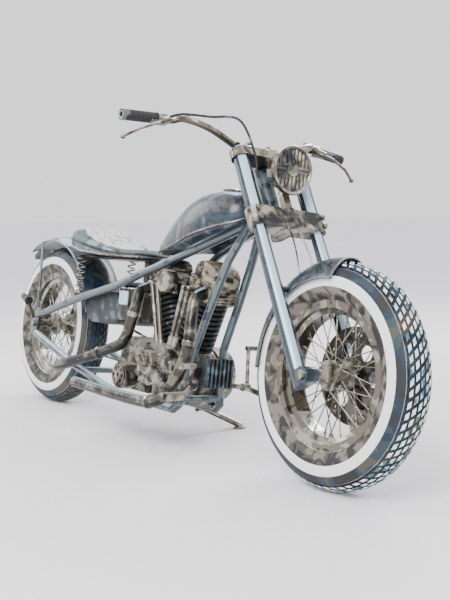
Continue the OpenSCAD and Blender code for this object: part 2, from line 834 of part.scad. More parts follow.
module foot_controls() {
    knuckle = [crank_x + 215, 116, -114];
    peg = [crank_x + 262, 178, -140];
    pin = [0, 15, 0];
    color("silver") both_sides() {
        difference() {
            translate([lower_rail[7][0] - 20, case_half + 1, -134]) cube([44, 24, 30]);
            from_to(lower_rail[6], lower_rail[7]) rotate(100)
                cylinder(r = tube_r + seat_gap, h = 140);
        }
        rod([lower_rail[7][0] + 10, 92, -118], knuckle, 9);
        rod(knuckle - pin, knuckle + pin, 14);
        rod(knuckle, peg, 10);
        rod(peg, peg + [8, 92, -4], 15);
    }
    // The gear lever on the left and the brake pedal on the right
    color("silver") {
        rod(knuckle + pin / 2, [crank_x + 170, 150, 20], 7);
        rod([crank_x + 170, 140, 20], [crank_x + 176, 206, 22], 9);
        mirror([0, 1, 0]) {
            rod(knuckle + pin / 2, [crank_x + 262, 150, -40], 7);
            rod([crank_x + 262, 140, -40], [crank_x + 268, 206, -42], 9);
        }
    }
}

module drive_chain() {
    rear_in = sprocket_r + 2;
    drive_in = drive_sprocket_r + 2;
    color("dimgray") slab(sprocket_y - chain_w / 2, sprocket_y + chain_w / 2) difference() {
        belt2d([0, 0], rear_in + chain_h, [box_x, box_z], drive_in + chain_h);
        belt2d([0, 0], rear_in, [box_x, box_z], drive_in);
    }
}

// ---------- fork and controls ----------

module fork_legs() {
    color("lightblue") on_fork() both_sides() difference() {
        translate([-axle_lead, fork_half, 0]) {
            translate([0, 0, -slider_r]) cylinder(r = slider_r, h = slider_r + slider_top);
            translate([0, 0, slider_top]) cylinder(r1 = slider_r, r2 = leg_r,
                h = lower_tree_bottom - slider_top - 8);
            translate([0, 0, lower_tree_bottom - 8]) cylinder(r = leg_r,
                h = upper_tree_top + 16 - lower_tree_bottom);
            translate([0, 0, lower_tree_top + seat_gap]) cylinder(r = cover_r,
                h = upper_tree_bottom - lower_tree_top - 2 * seat_gap);
            translate([0, 0, upper_tree_top + seat_gap]) cylinder(r = leg_r + 3, h = 8);
            translate([0, -lug_half, -slider_r]) cube([axle_lead, 2 * lug_half, 2 * slider_r]);
            translate([axle_lead, lug_half, 0]) rotate([90, 0, 0])
                cylinder(r = slider_r, h = 2 * lug_half);
        }
        across(0, 0, 0, 400, axle_r + seat_gap);
    }
}

module front_axle() {
    out = fork_half + lug_half;
    color("silver") translate([wheelbase, 0, 0]) {
        across(0, 0, -out - 10, out + 10, axle_r);
        across(0, 0, out + seat_gap, out + 10, 15);
        across(0, 0, -out - 10, -out - seat_gap, 15);
    }
}

// A fork tree: two clamps round the legs, a bar between them and a boss at the stem
module tree(bottom, height) {
    clamp_r = leg_r + tree_wall;
    difference() {
        translate([0, 0, bottom]) linear_extrude(height) {
            belt2d([-axle_lead, -fork_half], clamp_r, [-axle_lead, fork_half], clamp_r);
            belt2d([-axle_lead, 0], clamp_r + 8, [stem_x, 0], stem_r + tree_wall);
        }
        translate([-axle_lead, fork_half, bottom - 1]) cylinder(r = leg_r + seat_gap,
            h = height + 2);
        translate([-axle_lead, -fork_half, bottom - 1]) cylinder(r = leg_r + seat_gap,
            h = height + 2);
        children();
    }
}

module lower_tree() {
    color("tan") on_fork() {
        tree(lower_tree_bottom, lower_tree_h);
        translate([stem_x, 0, lower_tree_top - 1])
            cylinder(r = stem_r, h = upper_tree_bottom - lower_tree_top - seat_gap + 1);
    }
}

module upper_tree() {
    color("gray") {
        on_fork() tree(upper_tree_bottom, upper_tree_h);
        // Risers carry the handlebar in two split clamps
        both_sides() difference() {
            union() {
                rod([bar_clamp[0], riser_y, bar_clamp[2]],
                    fork_point(stem_x + 14, riser_y, upper_tree_top - 6), 15);
                across(bar_clamp[0], bar_clamp[2], riser_y - 14, riser_y + 14, bar_r + 8);
            }
            across(bar_clamp[0], bar_clamp[2], 0, 100, bar_r + seat_gap);
            on_fork() translate([-200, -200, upper_tree_bottom - 200])
                cube([400, 400, 200]);
        }
    }
}

module handlebar() {
    last = len(bar_side) - 1;
    half = concat([bar_side[0]], smooth_path([for (i = [1 : last - 1]) bar_side[i]], 4),
        [bar_end]);
    route = concat([for (i = [len(half) - 1 : -1 : 1]) [half[i][0], -half[i][1], half[i][2]]],
        half);
    color("silver") difference() {
        hose(route, bar_r, 20);
        both_sides() rod(bar_end - grip_dir * bar_bore_l, bar_end + grip_dir * 5, bar_bore_r);
    }
}

module grips() {
    color("dimgray") both_sides() difference() {
        rod(bar_end - grip_dir * grip_l, bar_end, grip_r);
        rod(bar_end - grip_dir * (grip_l + 1), bar_end + grip_dir, bar_r + seat_gap);
    }
}

module hand_levers() {
    perch = bar_end - grip_dir * (grip_l + 16);
    ahead = [1, 0, 0];
    color("silver") both_sides() {
        difference() {
            union() {
                rod(perch - grip_dir * 16, perch + grip_dir * 16, bar_r + 9);
                rod(perch - grip_dir * 10 + [30, 0, -6], perch + grip_dir * 20 + [44, 0, -14], 13);
                rod(perch, perch + [36, 0, -9], 10);
            }
            rod(perch - grip_dir * 40, perch + grip_dir * 40, bar_r + 2 * seat_gap);
        }
        bent_tube([perch + grip_dir * 14 + [42, 0, -13], perch + grip_dir * 50 + [62, 0, -24],
            perch + grip_dir * 110 + [64, 0, -46], ball], 5);
        translate(ball) sphere(ball_r);
    }
}

// ---------- wheels ----------

module rim_outline(grow) {
    polygon([
        [0, -rim_half - 20], [flange_r + grow, -rim_half - 20], [flange_r + grow, -rim_half + 4],
        [bead_r, -rim_half + 4], [bead_r, -well_half - 6], [well_r, -well_half],
        [well_r, well_half], [bead_r, well_half + 6], [bead_r, rim_half - 4],
        [flange_r + grow, rim_half - 4], [flange_r + grow, rim_half + 20], [0, rim_half + 20],
    ]);
}

module tyre() {
    color("darkslategray") rotate([90, 0, 0]) rotate_extrude() difference() {
        translate([core_r, 0]) circle(tyre_r);
        translate([core_r, 0]) circle(tyre_r - tyre_wall);
        rim_outline(seat_gap);
        translate([0, -well_half - 10]) square([core_r, 2 * well_half + 20]);
    }
}

module rim() {
    seat = bead_r - seat_gap;
    well = well_r - seat_gap;
    color("silver") rotate([90, 0, 0]) rotate_extrude() polygon([
        [flange_r, -rim_half], [flange_r, -rim_half + 4 - seat_gap], [seat, -rim_half + 4 - seat_gap],
        [seat, -well_half - 6], [well, -well_half], [well, well_half],
        [seat, well_half + 6], [seat, rim_half - 4 + seat_gap],
        [flange_r, rim_half - 4 + seat_gap], [flange_r, rim_half],
        [seat - rim_wall, rim_half], [seat - rim_wall, well_half + 6 + rim_wall],
        [well - rim_wall, well_half + rim_wall], [well - rim_wall, -well_half - rim_wall],
        [seat - rim_wall, -well_half - 6 - rim_wall], [seat - rim_wall, -rim_half],
    ]);
}

module spokes() {
    reach = well_r - seat_gap - rim_wall + 2;
    per_set = spoke_count / 4;
    color("silver") for (side = [-1, 1]) for (way = [-1, 1]) for (i = [0 : per_set - 1]) {
        at_hub = (i + (way < 0 ? 0.5 : 0) + (side < 0 ? 0.5 : 0)) * 360 / per_set;
        at_rim = at_hub + way * lace_angle;
        rod([spoke_hub_r * cos(at_hub), side * (hub_flange_y + way * spoke_side_step),
             spoke_hub_r * sin(at_hub)],
            [reach * cos(at_rim), side * (spoke_rim_y + way * spoke_side_step),
             reach * sin(at_rim)], spoke_r);
    }
}

// A spoked hub whose barrel ends at half, with a bore for its axle
module hub(half, end) {
    difference() {
        union() {
            across(0, 0, -half, half, hub_r);
            across(0, 0, -end, end, spacer_r);
            both_sides() across(0, 0, hub_flange_y - hub_flange_t / 2,
                hub_flange_y + hub_flange_t / 2, hub_flange_r);
            children();
        }
        across(0, 0, -end - 1, end + 1, axle_r + pin_gap);
    }
}

module front_hub() {
    color("gray") translate([wheelbase, 0, 0]) hub(front_hub_half, fork_half - lug_half - moving_gap)
        across(0, 0, front_hub_half - 2, disc_y - seat_gap, 52);
}

module front_brake_disc() {
    color("silver") translate([wheelbase, 0, 0]) difference() {
        across(0, 0, disc_y, disc_y + disc_t, disc_r);
        across(0, 0, disc_y - 1, disc_y + disc_t + 1, spacer_r + seat_gap);
        for (i = [0 : 5]) rotate([0, i * 60, 0]) across(84, 0, disc_y - 1, disc_y + disc_t + 1, 24);
        for (i = [0 : 23]) rotate([0, i * 15 + 5, 0]) across(i % 2 == 0 ? 124 : 136, 0,
            disc_y - 1, disc_y + disc_t + 1, 4);
    }
}

module front_caliper() {
    at = [62, -138];
    mid = disc_y + disc_t / 2;
    color("dimgray") translate([wheelbase, 0, 0]) difference() {
        union() {
            translate([at[0] - 42, mid - 18, at[1] - 26]) cube([84, 36, 52]);
            slab(mid + 12, fork_half - lug_half - seat_gap) difference() {
                belt2d([0, 0], 40, at, 26);
                circle(spacer_r + moving_gap);
            }
        }
        across(0, 0, mid - disc_t / 2 - moving_gap, mid + disc_t / 2 + moving_gap,
            disc_r + moving_gap);
    }
}

module rear_hub() {
    color("gray") hub(62, plate_y - plate_t / 2 - moving_gap) {
        across(0, 0, 61, sprocket_y - 4, 50);
        difference() {
            across(0, 0, sprocket_y - 3, sprocket_y + 3, sprocket_r);
            for (i = [0 : 5]) rotate([0, i * 60, 0])
                across(70, 0, sprocket_y - 4, sprocket_y + 4, 14);
        }
        across(0, 0, sprocket_y - 5, sprocket_y - 2, 50);
    }
}

module brake_hose() {
    perch = bar_end - grip_dir * (grip_l + 16);
    start = [perch[0] + 34, -perch[1] + 14, perch[2] + 6];
    route = [
        start, start + [16, 40, 14], start + [66, 110, 14], start + [152, 165, 6],
        [lamp_x - 88, -96, lamp_up + 50], [lamp_x - 58, -96, lamp_up - 30],
        [lamp_x - 20, -84, lamp_up - 120],
    ];
    color("black") hose(smooth_path(route, 6), 4);
}

// ---------- side stand ----------

module side_stand() {
    color("silver") {
        difference() {
            union() {
                from_to(stand_pivot - stand_axis * stand_r, stand_pivot + stand_axis * stand_r)
                    cylinder(r = 16.4, h = 2 * stand_r);
                rod(stand_pivot + stand_down * 4, stand_ankle, stand_r);
            }
            rod(stand_pivot - stand_axis * 40, stand_pivot + stand_axis * 40, 8 + pin_gap);
        }
        translate(stand_foot) rotate([lean, 0, 0]) cylinder(r = foot_r, h = foot_t);
        translate(stand_ankle) sphere(stand_r + 0.5);
    }
}

parked() front_frame();
parked() rear_frame();
parked() fuel_tank();
parked() fuel_cap();
parked() seat_cushion();
parked() seat_pan();
parked() rear_fender();
parked() tail_light();
parked() rear_indicators();
parked() oil_tank();
parked() battery_box();
parked() crankcase();
parked() cam_cover();
parked() gearbox();
parked() gearbox_cover();
parked() primary_cover();
parked() cylinders();
parked() cylinder_heads();
parked() rocker_boxes();
parked() pushrod_tubes();
parked() carburettor();
parked() exhaust_pipes();
parked() foot_controls();
parked() regulator();
parked() rear_axle();
parked() drive_chain();
parked() lower_tree();
parked() upper_tree();
parked() fork_legs();
parked() handlebar();
parked() grips();
parked() hand_levers();
parked() headlight_shell();
parked() headlight_lens();
parked() front_fender();
parked() front_caliper();
parked() front_axle();
parked() brake_hose();
parked() translate([wheelbase, 0, 0]) tyre();  // front_tyre
parked() translate([wheelbase, 0, 0]) rim();  // front_rim
parked() translate([wheelbase, 0, 0]) spokes();  // front_spokes
parked() front_hub();
parked() front_brake_disc();
parked() tyre();  // rear_tyre
parked() rim();  // rear_rim
parked() spokes();  // rear_spokes
parked() rear_hub();
parked() side_stand();
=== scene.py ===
"""Long-fork chopper motorcycle on its side stand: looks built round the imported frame.

Lengths are metres. Pieces are worked out on the upright machine, with the rear axle's
centre as origin, X ahead, Y to the rider's left and Z up. on_machine() leans them over.
"""
import json
import math

import bmesh
import bpy
import numpy as np
from bpy.props import FloatProperty, FloatVectorProperty, IntProperty, PointerProperty
from mathutils import Matrix


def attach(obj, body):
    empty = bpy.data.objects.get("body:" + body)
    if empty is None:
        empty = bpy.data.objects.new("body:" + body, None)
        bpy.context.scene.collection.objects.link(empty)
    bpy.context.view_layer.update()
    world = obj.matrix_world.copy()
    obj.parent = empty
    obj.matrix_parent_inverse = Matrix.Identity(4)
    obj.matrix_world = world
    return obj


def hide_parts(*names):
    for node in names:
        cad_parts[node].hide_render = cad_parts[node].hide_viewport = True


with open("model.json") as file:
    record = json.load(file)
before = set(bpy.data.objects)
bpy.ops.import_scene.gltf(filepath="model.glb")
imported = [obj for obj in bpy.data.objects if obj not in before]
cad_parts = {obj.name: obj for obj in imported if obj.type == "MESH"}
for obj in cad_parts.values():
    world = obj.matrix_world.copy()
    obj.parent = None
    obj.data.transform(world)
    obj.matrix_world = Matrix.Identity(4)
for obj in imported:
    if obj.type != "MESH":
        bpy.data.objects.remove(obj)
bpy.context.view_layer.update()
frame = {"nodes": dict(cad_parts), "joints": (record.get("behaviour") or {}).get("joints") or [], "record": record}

bl_info = {
    "name": "Chopper Motorcycle",
    "version": (1, 0, 0),
    "blender": (4, 5, 0),
    "location": "3D View > Sidebar > Chopper",
    "description": "Builds the visible pieces and finishes of a long-fork chopper",
    "category": "Object",
}

# ---------- the machine's own frame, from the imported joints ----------

JOINTS = {joint["name"]: joint for joint in frame["joints"]}
REAR_AXLE = np.array(JOINTS["rear_wheel_spin"]["pos_m"], float)
FRONT_AXLE = np.array(JOINTS["front_wheel_spin"]["pos_m"], float)
STEER_AXIS = np.array(JOINTS["steering_turn"]["axis"], float)
LEFT = np.array(JOINTS["rear_wheel_spin"]["axis"], float)
LEFT /= np.linalg.norm(LEFT)
WHEELBASE = float(np.linalg.norm(FRONT_AXLE - REAR_AXLE))
AHEAD = (FRONT_AXLE - REAR_AXLE) / WHEELBASE
UP = np.cross(AHEAD, LEFT)
RAKE = math.acos(float(STEER_AXIS @ UP) / float(np.linalg.norm(STEER_AXIS)))

# Driving places of the frame's pieces on the upright machine
CRANK = np.array([0.980, 0.0, -0.095])
VEE_HALF = math.radians(22.5)
DECK_UP = 0.300
GEARBOX = np.array([0.745, 0.0, -0.085])
LAMP = np.array([1.482, 0.0, 0.622])
LAMP_R = 0.079
WHEEL_R = 0.340
TYRE_R = 0.068
CORE_R = WHEEL_R - TYRE_R
STEM_X = -0.086
TANK_TAIL, TANK_NOSE = 0.785, 1.331
SEAT_BACK, SEAT_LENGTH = 0.205, 0.543
SPRING_X, SPRING_Y = 0.348, 0.118


def on_machine(points):
    """Upright machine to model: rear axle + x ahead + y left + z up."""
    points = np.asarray(points, float)
    return (REAR_AXLE + points[..., 0:1] * AHEAD + points[..., 1:2] * LEFT
            + points[..., 2:3] * UP)


def on_fork(points):
    """Fork to upright machine: x across the legs, y left, z along them from the axle."""
    points = np.asarray(points, float)
    x, y, up = points[..., 0], points[..., 1], points[..., 2]
    return np.stack([WHEELBASE + x * math.cos(RAKE) - up * math.sin(RAKE), y,
                     x * math.sin(RAKE) + up * math.cos(RAKE)], -1)


def on_cylinder(points, way):
    """Cylinder to upright machine: z runs up the barrel, +1 for the front one."""
    points = np.asarray(points, float)
    x, y, z = points[..., 0], points[..., 1], points[..., 2]
    lean = way * VEE_HALF
    return CRANK + np.stack([x * math.cos(lean) + z * math.sin(lean), y,
                             z * math.cos(lean) - x * math.sin(lean)], -1)


def mirrored(points):
    """The same points on the machine's other side."""
    return np.asarray(points, float) * np.array([1, -1, 1])


# ---------- meshes from grids ----------

def unit(v):
    v = np.asarray(v, float)
    return v / np.maximum(np.linalg.norm(v, axis=-1, keepdims=True), 1e-12)


def grid_faces(n, m, wrap_u, wrap_v):
    """Quads of an n by m grid; a wrapped parameter joins its last row to its first."""
    index = np.arange(n * m).reshape(n, m)
    if wrap_u:
        index = np.vstack([index, index[:1]])
    if wrap_v:
        index = np.hstack([index, index[:, :1]])
    return np.stack([index[:-1, :-1], index[1:, :-1], index[1:, 1:], index[:-1, 1:]],
                    -1).reshape(-1, 4)


def build_mesh(name, points, faces, values=None, sharp=35.0, uv=None):
    """One object from points and quads on the upright machine: doubles merge, faces turn
    outwards, and edges sharper than the given angle stay crisp."""
    mesh = bpy.data.meshes.new(name)
    mesh.from_pydata(on_machine(points).tolist(), [], faces.tolist())
    for key, data in (values or {}).items():
        layer = mesh.attributes.new(key, "FLOAT", "POINT")
        layer.data.foreach_set("value", np.ascontiguousarray(data, np.float32).ravel())
    if uv is not None:
        corners = np.empty(len(mesh.loops), np.int32)
        mesh.loops.foreach_get("vertex_index", corners)
        layer = mesh.uv_layers.new(name="UVMap")
        layer.data.foreach_set("uv", uv.reshape(-1, 2)[corners].astype(np.float32).ravel())
    shape = bmesh.new()
    shape.from_mesh(mesh)
    bmesh.ops.remove_doubles(shape, verts=shape.verts, dist=2e-6)
    bmesh.ops.dissolve_degenerate(shape, edges=shape.edges, dist=1e-7)
    bmesh.ops.recalc_face_normals(shape, faces=shape.faces)
    shape.to_mesh(mesh)
    shape.free()
    mesh.shade_smooth()
    if sharp:
        mesh.set_sharp_from_angle(angle=math.radians(sharp))
    piece = bpy.data.objects.new(name, mesh)
    bpy.context.scene.collection.objects.link(piece)
    return piece


def build_grids(name, grids, wrap_u=False, wrap_v=True, **extra):
    """Several grids of points as one object."""
    points, faces, start = [], [], 0
    for grid in grids:
        n, m = grid.shape[:2]
        faces.append(grid_faces(n, m, wrap_u, wrap_v) + start)
        points.append(grid.reshape(-1, 3))
        start += n * m
    return build_mesh(name, np.concatenate(points), np.concatenate(faces), **extra)


def settle(piece, body, slot, *nodes):
    """Gives a piece its finish and its body, and hides the nodes it stands for."""
    piece.data.materials.clear()
    piece.data.materials.append(bpy.data.materials[f"{slot}_finish"])
    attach(piece, body)
    if nodes:
        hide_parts(*nodes)
    return piece


def smooth_line(points, steps=8):
    """A Catmull-Rom curve through chosen points: each span is the cubic whose slope at a
    point is half the step from its neighbour before to its neighbour after."""
    p = np.asarray(points, float)
    a = np.vstack([p[:1], p[:-2]])
    b, c = p[:-1], p[1:]
    d = np.vstack([p[2:], p[-1:]])
    t = np.linspace(0, 1, steps, endpoint=False)[None, :, None]
    a, b, c, d = (q[:, None, :] for q in (a, b, c, d))
    curve = 0.5 * (2 * b + (c - a) * t + (2 * a - 5 * b + 4 * c - d) * t**2
                   + (3 * b - a - 3 * c + d) * t**3)
    return np.vstack([curve.reshape(-1, 3), p[-1:]])


def line_axes(path, over=None):
    """Unit tangent, side and upper direction at each point of a path."""
    ahead = unit(np.gradient(path, axis=0))
    if over is None:
        over = np.eye(3)[np.argmin(np.abs(ahead).max(0))]
    side = unit(np.cross(ahead, over))
    return ahead, side, np.cross(side, ahead)


def tube(path, radius, sides=16, over=None, capped=True, loop=False):
    """A circle carried along a path: p(u) + r(u) (cos a side + sin a upper)."""
    path = np.asarray(path, float)
    if loop:
        around = np.vstack([path[-1:], path, path[:1]])
        ahead, side, upper = (q[1:-1] for q in line_axes(around, over))
    else:
        ahead, side, upper = line_axes(path, over)
    a = np.linspace(0, 2 * np.pi, sides, endpoint=False)
    r = np.broadcast_to(np.asarray(radius, float), (len(path),))[:, None, None]
    grid = path[:, None] + r * (np.cos(a)[None, :, None] * side[:, None]
                                + np.sin(a)[None, :, None] * upper[:, None])
    return with_poles(grid) if capped and not loop else grid


def with_poles(grid):
    """Closes a tube-like grid by drawing each end ring in to its middle."""
    low = np.repeat(grid[:1].mean(1, keepdims=True), grid.shape[1], 1)
    high = np.repeat(grid[-1:].mean(1, keepdims=True), grid.shape[1], 1)
    return np.concatenate([low, grid, high])


def turned(profile, origin, axis, sides=48):
    """A profile of (radius, distance along) turned round an axis through origin."""
    axis = unit(axis)
    first = unit(np.cross(axis, np.eye(3)[np.argmin(np.abs(axis))]))
    second = np.cross(axis, first)
    profile = np.asarray(profile, float)
    a = np.linspace(0, 2 * np.pi, sides, endpoint=False)[:, None, None]
    ring = np.cos(a) * first + np.sin(a) * second
    return (np.asarray(origin, float) + profile[None, :, 0:1] * ring
            + profile[None, :, 1:2] * axis)


def rounded_block(centre, half, axes=np.eye(3), power=0.16, n=20, m=28):
    """A box with soft edges: each axis carries a signed power of cosines and sines."""
    v = np.linspace(-np.pi / 2, np.pi / 2, n)[:, None]
    a = np.linspace(0, 2 * np.pi, m, endpoint=False)[None]
    bend = lambda q: np.sign(q) * np.abs(q) ** power
    local = np.stack([half[0] * bend(np.cos(v)) * bend(np.cos(a)),
                      half[1] * bend(np.cos(v)) * bend(np.sin(a)),
                      half[2] * bend(np.sin(v)) * np.ones_like(a)], -1)
    return np.asarray(centre, float) + local @ np.asarray(axes, float)


def repeated(name, base, places, ahead, wrap_u=False, wrap_v=True, over=None, **extra):
    """Copies one small grid to many places; its z axis points along ahead."""
    places = np.asarray(places, float).reshape(-1, 3)
    z = unit(np.broadcast_to(np.asarray(ahead, float), places.shape))
    if over is None:
        over = np.where(np.abs(z[:, :1]) < 0.9, [[1.0, 0, 0]], [[0, 0, 1.0]])
    x = unit(np.cross(np.broadcast_to(over, z.shape), z))
    y = np.cross(z, x)
    axes = np.stack([x, y, z], 1)
    copies = places[:, None] + base.reshape(-1, 3)[None] @ axes
    faces = grid_faces(*base.shape[:2], wrap_u, wrap_v)
    offset = np.arange(len(places))[:, None, None] * base[..., 0].size
    return build_mesh(name, copies.reshape(-1, 3), (faces[None] + offset).reshape(-1, 4),
                      **extra)


def bolt_head(radius, height, sides=6):
    """A bolt head on a washer: rings of a hexagon over rings of a disc."""
    rings = [(0, 0), (radius * 1.25, 0), (radius * 1.25, height * 0.2), (radius, height * 0.2),
             (radius, height * 0.85), (radius * 0.86, height), (0, height)]
    a = np.linspace(0, 2 * np.pi, sides, endpoint=False)
    return np.array([[(r * math.cos(q), r * math.sin(q), z) for q in a] for r, z in rings])


def ball_end(radius, n=6, m=10):
    """A low dome: radius and height follow a quarter circle, closed below."""
    v = np.linspace(0, np.pi / 2, n)
    rings = np.vstack([[0, 0], np.stack([radius * np.cos(v), 0.6 * radius * np.sin(v)], -1)])
    a = np.linspace(0, 2 * np.pi, m, endpoint=False)
    return np.stack([rings[:, :1] * np.cos(a), rings[:, :1] * np.sin(a),
                     np.repeat(rings[:, 1:], m, 1)], -1)


# ---------- sizes and colours that a user would change ----------

def colour_of(code):
    """A screen colour such as 2b4c5f as scene-linear red, green and blue."""
    c = np.array([int(code[i:i + 2], 16) for i in (0, 2, 4)]) / 255
    return tuple(np.where(c <= 0.04045, c / 12.92, ((c + 0.055) / 1.055) ** 2.4))


def length_prop(name, description, default):
    return FloatProperty(name=name, description=description, default=default, min=0.0,
                         unit="LENGTH")


def colour_prop(name, description, code):
    return FloatVectorProperty(name=name, description=description, subtype="COLOR",
                               size=3, min=0, max=1, default=colour_of(code))


class ChopperSizes(bpy.types.PropertyGroup):
    """Sizes of the pieces made here"""
    tread_columns: IntProperty(name="Tread columns", description="Rows of blocks across a tyre",
                               default=6, min=3)
    tread_blocks: IntProperty(name="Tread blocks", description="Blocks in each row round a tyre",
                              default=66, min=20)
    tread_depth: length_prop("Tread depth", "Depth of the grooves", 0.0055)
    tread_half: FloatProperty(name="Tread half angle", default=math.radians(42),
                              description="Reach of the tread over the section",
                              unit="ROTATION")
    white_low: length_prop("Whitewall inside", "Radius where the white band starts", 0.262)
    white_high: length_prop("Whitewall outside", "Radius where the white band ends", 0.293)
    tile: length_prop("Seat tile", "Size of the tooled cells in the seat", 0.0185)
    pipe_r: length_prop("Exhaust radius", "Outside radius of the pipes", 0.021)
    bar_r: length_prop("Handlebar radius", "Outside radius of the bar", 0.0127)
    grip_r: length_prop("Grip radius", "Outside radius of the grips", 0.018)
    grip_length: length_prop("Grip length", "Length of the grips", 0.128)
    hose_d: length_prop("Hose diameter", "Outside diameter of the brake hose", 0.008)
    chain_pitch: length_prop("Chain pitch", "Distance between two chain pins", 0.015875)


class ChopperColours(bpy.types.PropertyGroup):
    """Colours of the finishes"""
    # Besides their own uses, ice, white and light taupe serve the finishes as painted highlights, and teal, dark
    # taupe and black as painted shade.
    navy: colour_prop("Navy", "Darkest blue", "0d2438")
    teal: colour_prop("Teal", "Dark grey-blue", "25383f")
    slate: colour_prop("Slate", "Mid grey-blue", "566469")
    ice: colour_prop("Ice", "Pale blue", "b3d3dd")
    taupe_light: colour_prop("Light taupe", "Lightest metal tone", "a29e90")
    taupe: colour_prop("Taupe", "Main metal tone", "736d61")
    taupe_dark: colour_prop("Dark taupe", "Shaded metal tone", "47433b")
    black: colour_prop("Black", "Darkest tone", "1b1d1d")
    white: colour_prop("White", "Whitewall and seat", "eef0ee")


# ---------- shader groups and finishes ----------

def node_group(name, inputs, outputs):
    group = bpy.data.node_groups.new(name, "ShaderNodeTree")
    for label, kind, default in inputs:
        socket = group.interface.new_socket(name=label, in_out="INPUT", socket_type=kind)
        if default is not None:
            socket.default_value = default
    for label, kind in outputs:
        group.interface.new_socket(name=label, in_out="OUTPUT", socket_type=kind)
    enter = group.nodes.new("NodeGroupInput")
    leave = group.nodes.new("NodeGroupOutput")
    return group, enter, leave


def add_math(tree, operation, a, b=None, c=None):
    node = tree.nodes.new("ShaderNodeMath")
    node.operation = operation
    for i, value in enumerate((a, b, c)):
        if isinstance(value, (int, float)):
            node.inputs[i].default_value = value
        elif value is not None:
            tree.links.new(value, node.inputs[i])
    return node.outputs[0]


def add_mix(tree, mask, under, over):
    node = tree.nodes.new("ShaderNodeMix")
    node.data_type = "RGBA"
    for socket, value in ((node.inputs[0], mask), (node.inputs[6], under), (node.inputs[7], over)):
        if isinstance(value, bpy.types.NodeSocket):
            tree.links.new(value, socket)
        elif isinstance(value, (int, float)):
            socket.default_value = value
        else:
            socket.default_value = (*value[:3], 1)
    return node.outputs[2]


def add_noise(tree, vector, scale, detail=2.0, distortion=0.0, kind="ShaderNodeTexNoise"):
    node = tree.nodes.new(kind)
    for label, value in (("Scale", scale), ("Detail", detail), ("Distortion", distortion)):
        if label in node.inputs:
            if isinstance(value, (int, float)):
                node.inputs[label].default_value = value
            else:
                tree.links.new(value, node.inputs[label])
    tree.links.new(vector, node.inputs["Vector"])
    return node


def mottle_group():
    """Four flat tones in patches: bands of one wavy noise, cut sharp at three levels, with
    a second, finer noise that breaks the patches' edges."""
    group, enter, leave = node_group("Mottle", [
        ("Vector", "NodeSocketVector", None), ("Scale", "NodeSocketFloat", 20.0),
        ("Shift", "NodeSocketFloat", 0.0), ("Light", "NodeSocketColor", None),
        ("Mid", "NodeSocketColor", None), ("Dark", "NodeSocketColor", None),
        ("Deep", "NodeSocketColor", None)],
        [("Color", "NodeSocketColor"), ("Tone", "NodeSocketFloat")])
    broad = add_noise(group, enter.outputs["Vector"], enter.outputs["Scale"], 1.0, 1.2)
    fine_scale = add_math(group, "MULTIPLY", enter.outputs["Scale"], 3.1)
    fine = add_noise(group, enter.outputs["Vector"], fine_scale, 1.0, 0.8)
    level = add_math(group, "MULTIPLY_ADD", fine.outputs["Fac"], 0.22,
                     add_math(group, "MULTIPLY", broad.outputs["Fac"], 0.86))
    level = add_math(group, "ADD", level, enter.outputs["Shift"])
    colour = enter.outputs["Deep"]
    for edge, tone in ((0.45, "Dark"), (0.52, "Mid"), (0.62, "Light")):
        colour = add_mix(group, add_math(group, "GREATER_THAN", level, edge), colour,
                         enter.outputs[tone])
    group.links.new(colour, leave.inputs["Color"])
    group.links.new(level, leave.inputs["Tone"])


def grain_group():
    """Fine casting or paint grain: noise height, and a roughness that follows it."""
    group, enter, leave = node_group("Grain", [
        ("Vector", "NodeSocketVector", None), ("Scale", "NodeSocketFloat", 400.0),
        ("Roughness", "NodeSocketFloat", 0.4), ("Spread", "NodeSocketFloat", 0.15)],
        [("Height", "NodeSocketFloat"), ("Roughness", "NodeSocketFloat")])
    fine = add_noise(group, enter.outputs["Vector"], enter.outputs["Scale"], 3.0)
    smear = add_noise(group, enter.outputs["Vector"], 9.0, 4.0, 0.5)
    offset = add_math(group, "MULTIPLY", add_math(group, "SUBTRACT", smear.outputs["Fac"], 0.5),
                      add_math(group, "MULTIPLY", enter.outputs["Spread"], 2.0))
    group.links.new(fine.outputs["Fac"], leave.inputs["Height"])
    group.links.new(add_math(group, "ADD", enter.outputs["Roughness"], offset),
                    leave.inputs["Roughness"])


def painted_light_group():
    """Mask of the surfaces that face one way, where a finish lays a painted highlight or painted shade: the
    normal's share along a direction, compared with a level."""
    group, enter, leave = node_group("Facing", [
        ("Normal", "NodeSocketVector", None), ("Direction", "NodeSocketVector", None),
        ("Level", "NodeSocketFloat", 0.6)], [("Mask", "NodeSocketFloat")])
    dot = group.nodes.new("ShaderNodeVectorMath")
    dot.operation = "DOT_PRODUCT"
    group.links.new(enter.outputs["Normal"], dot.inputs[0])
    group.links.new(enter.outputs["Direction"], dot.inputs[1])
    group.links.new(add_math(group, "GREATER_THAN", dot.outputs["Value"], enter.outputs["Level"]),
                    leave.inputs["Mask"])


def place_group(tree, name, **values):
    node = tree.nodes.new("ShaderNodeGroup")
    node.node_tree = bpy.data.node_groups[name]
    for label, value in values.items():
        socket = node.inputs[label]
        if isinstance(value, bpy.types.NodeSocket):
            tree.links.new(value, socket)
        elif socket.type == "RGBA":
            socket.default_value = (*value[:3], 1)
        else:
            socket.default_value = value
    return node


def attribute_value(tree, name):
    node = tree.nodes.new("ShaderNodeAttribute")
    node.attribute_name = name
    return node.outputs["Fac"]


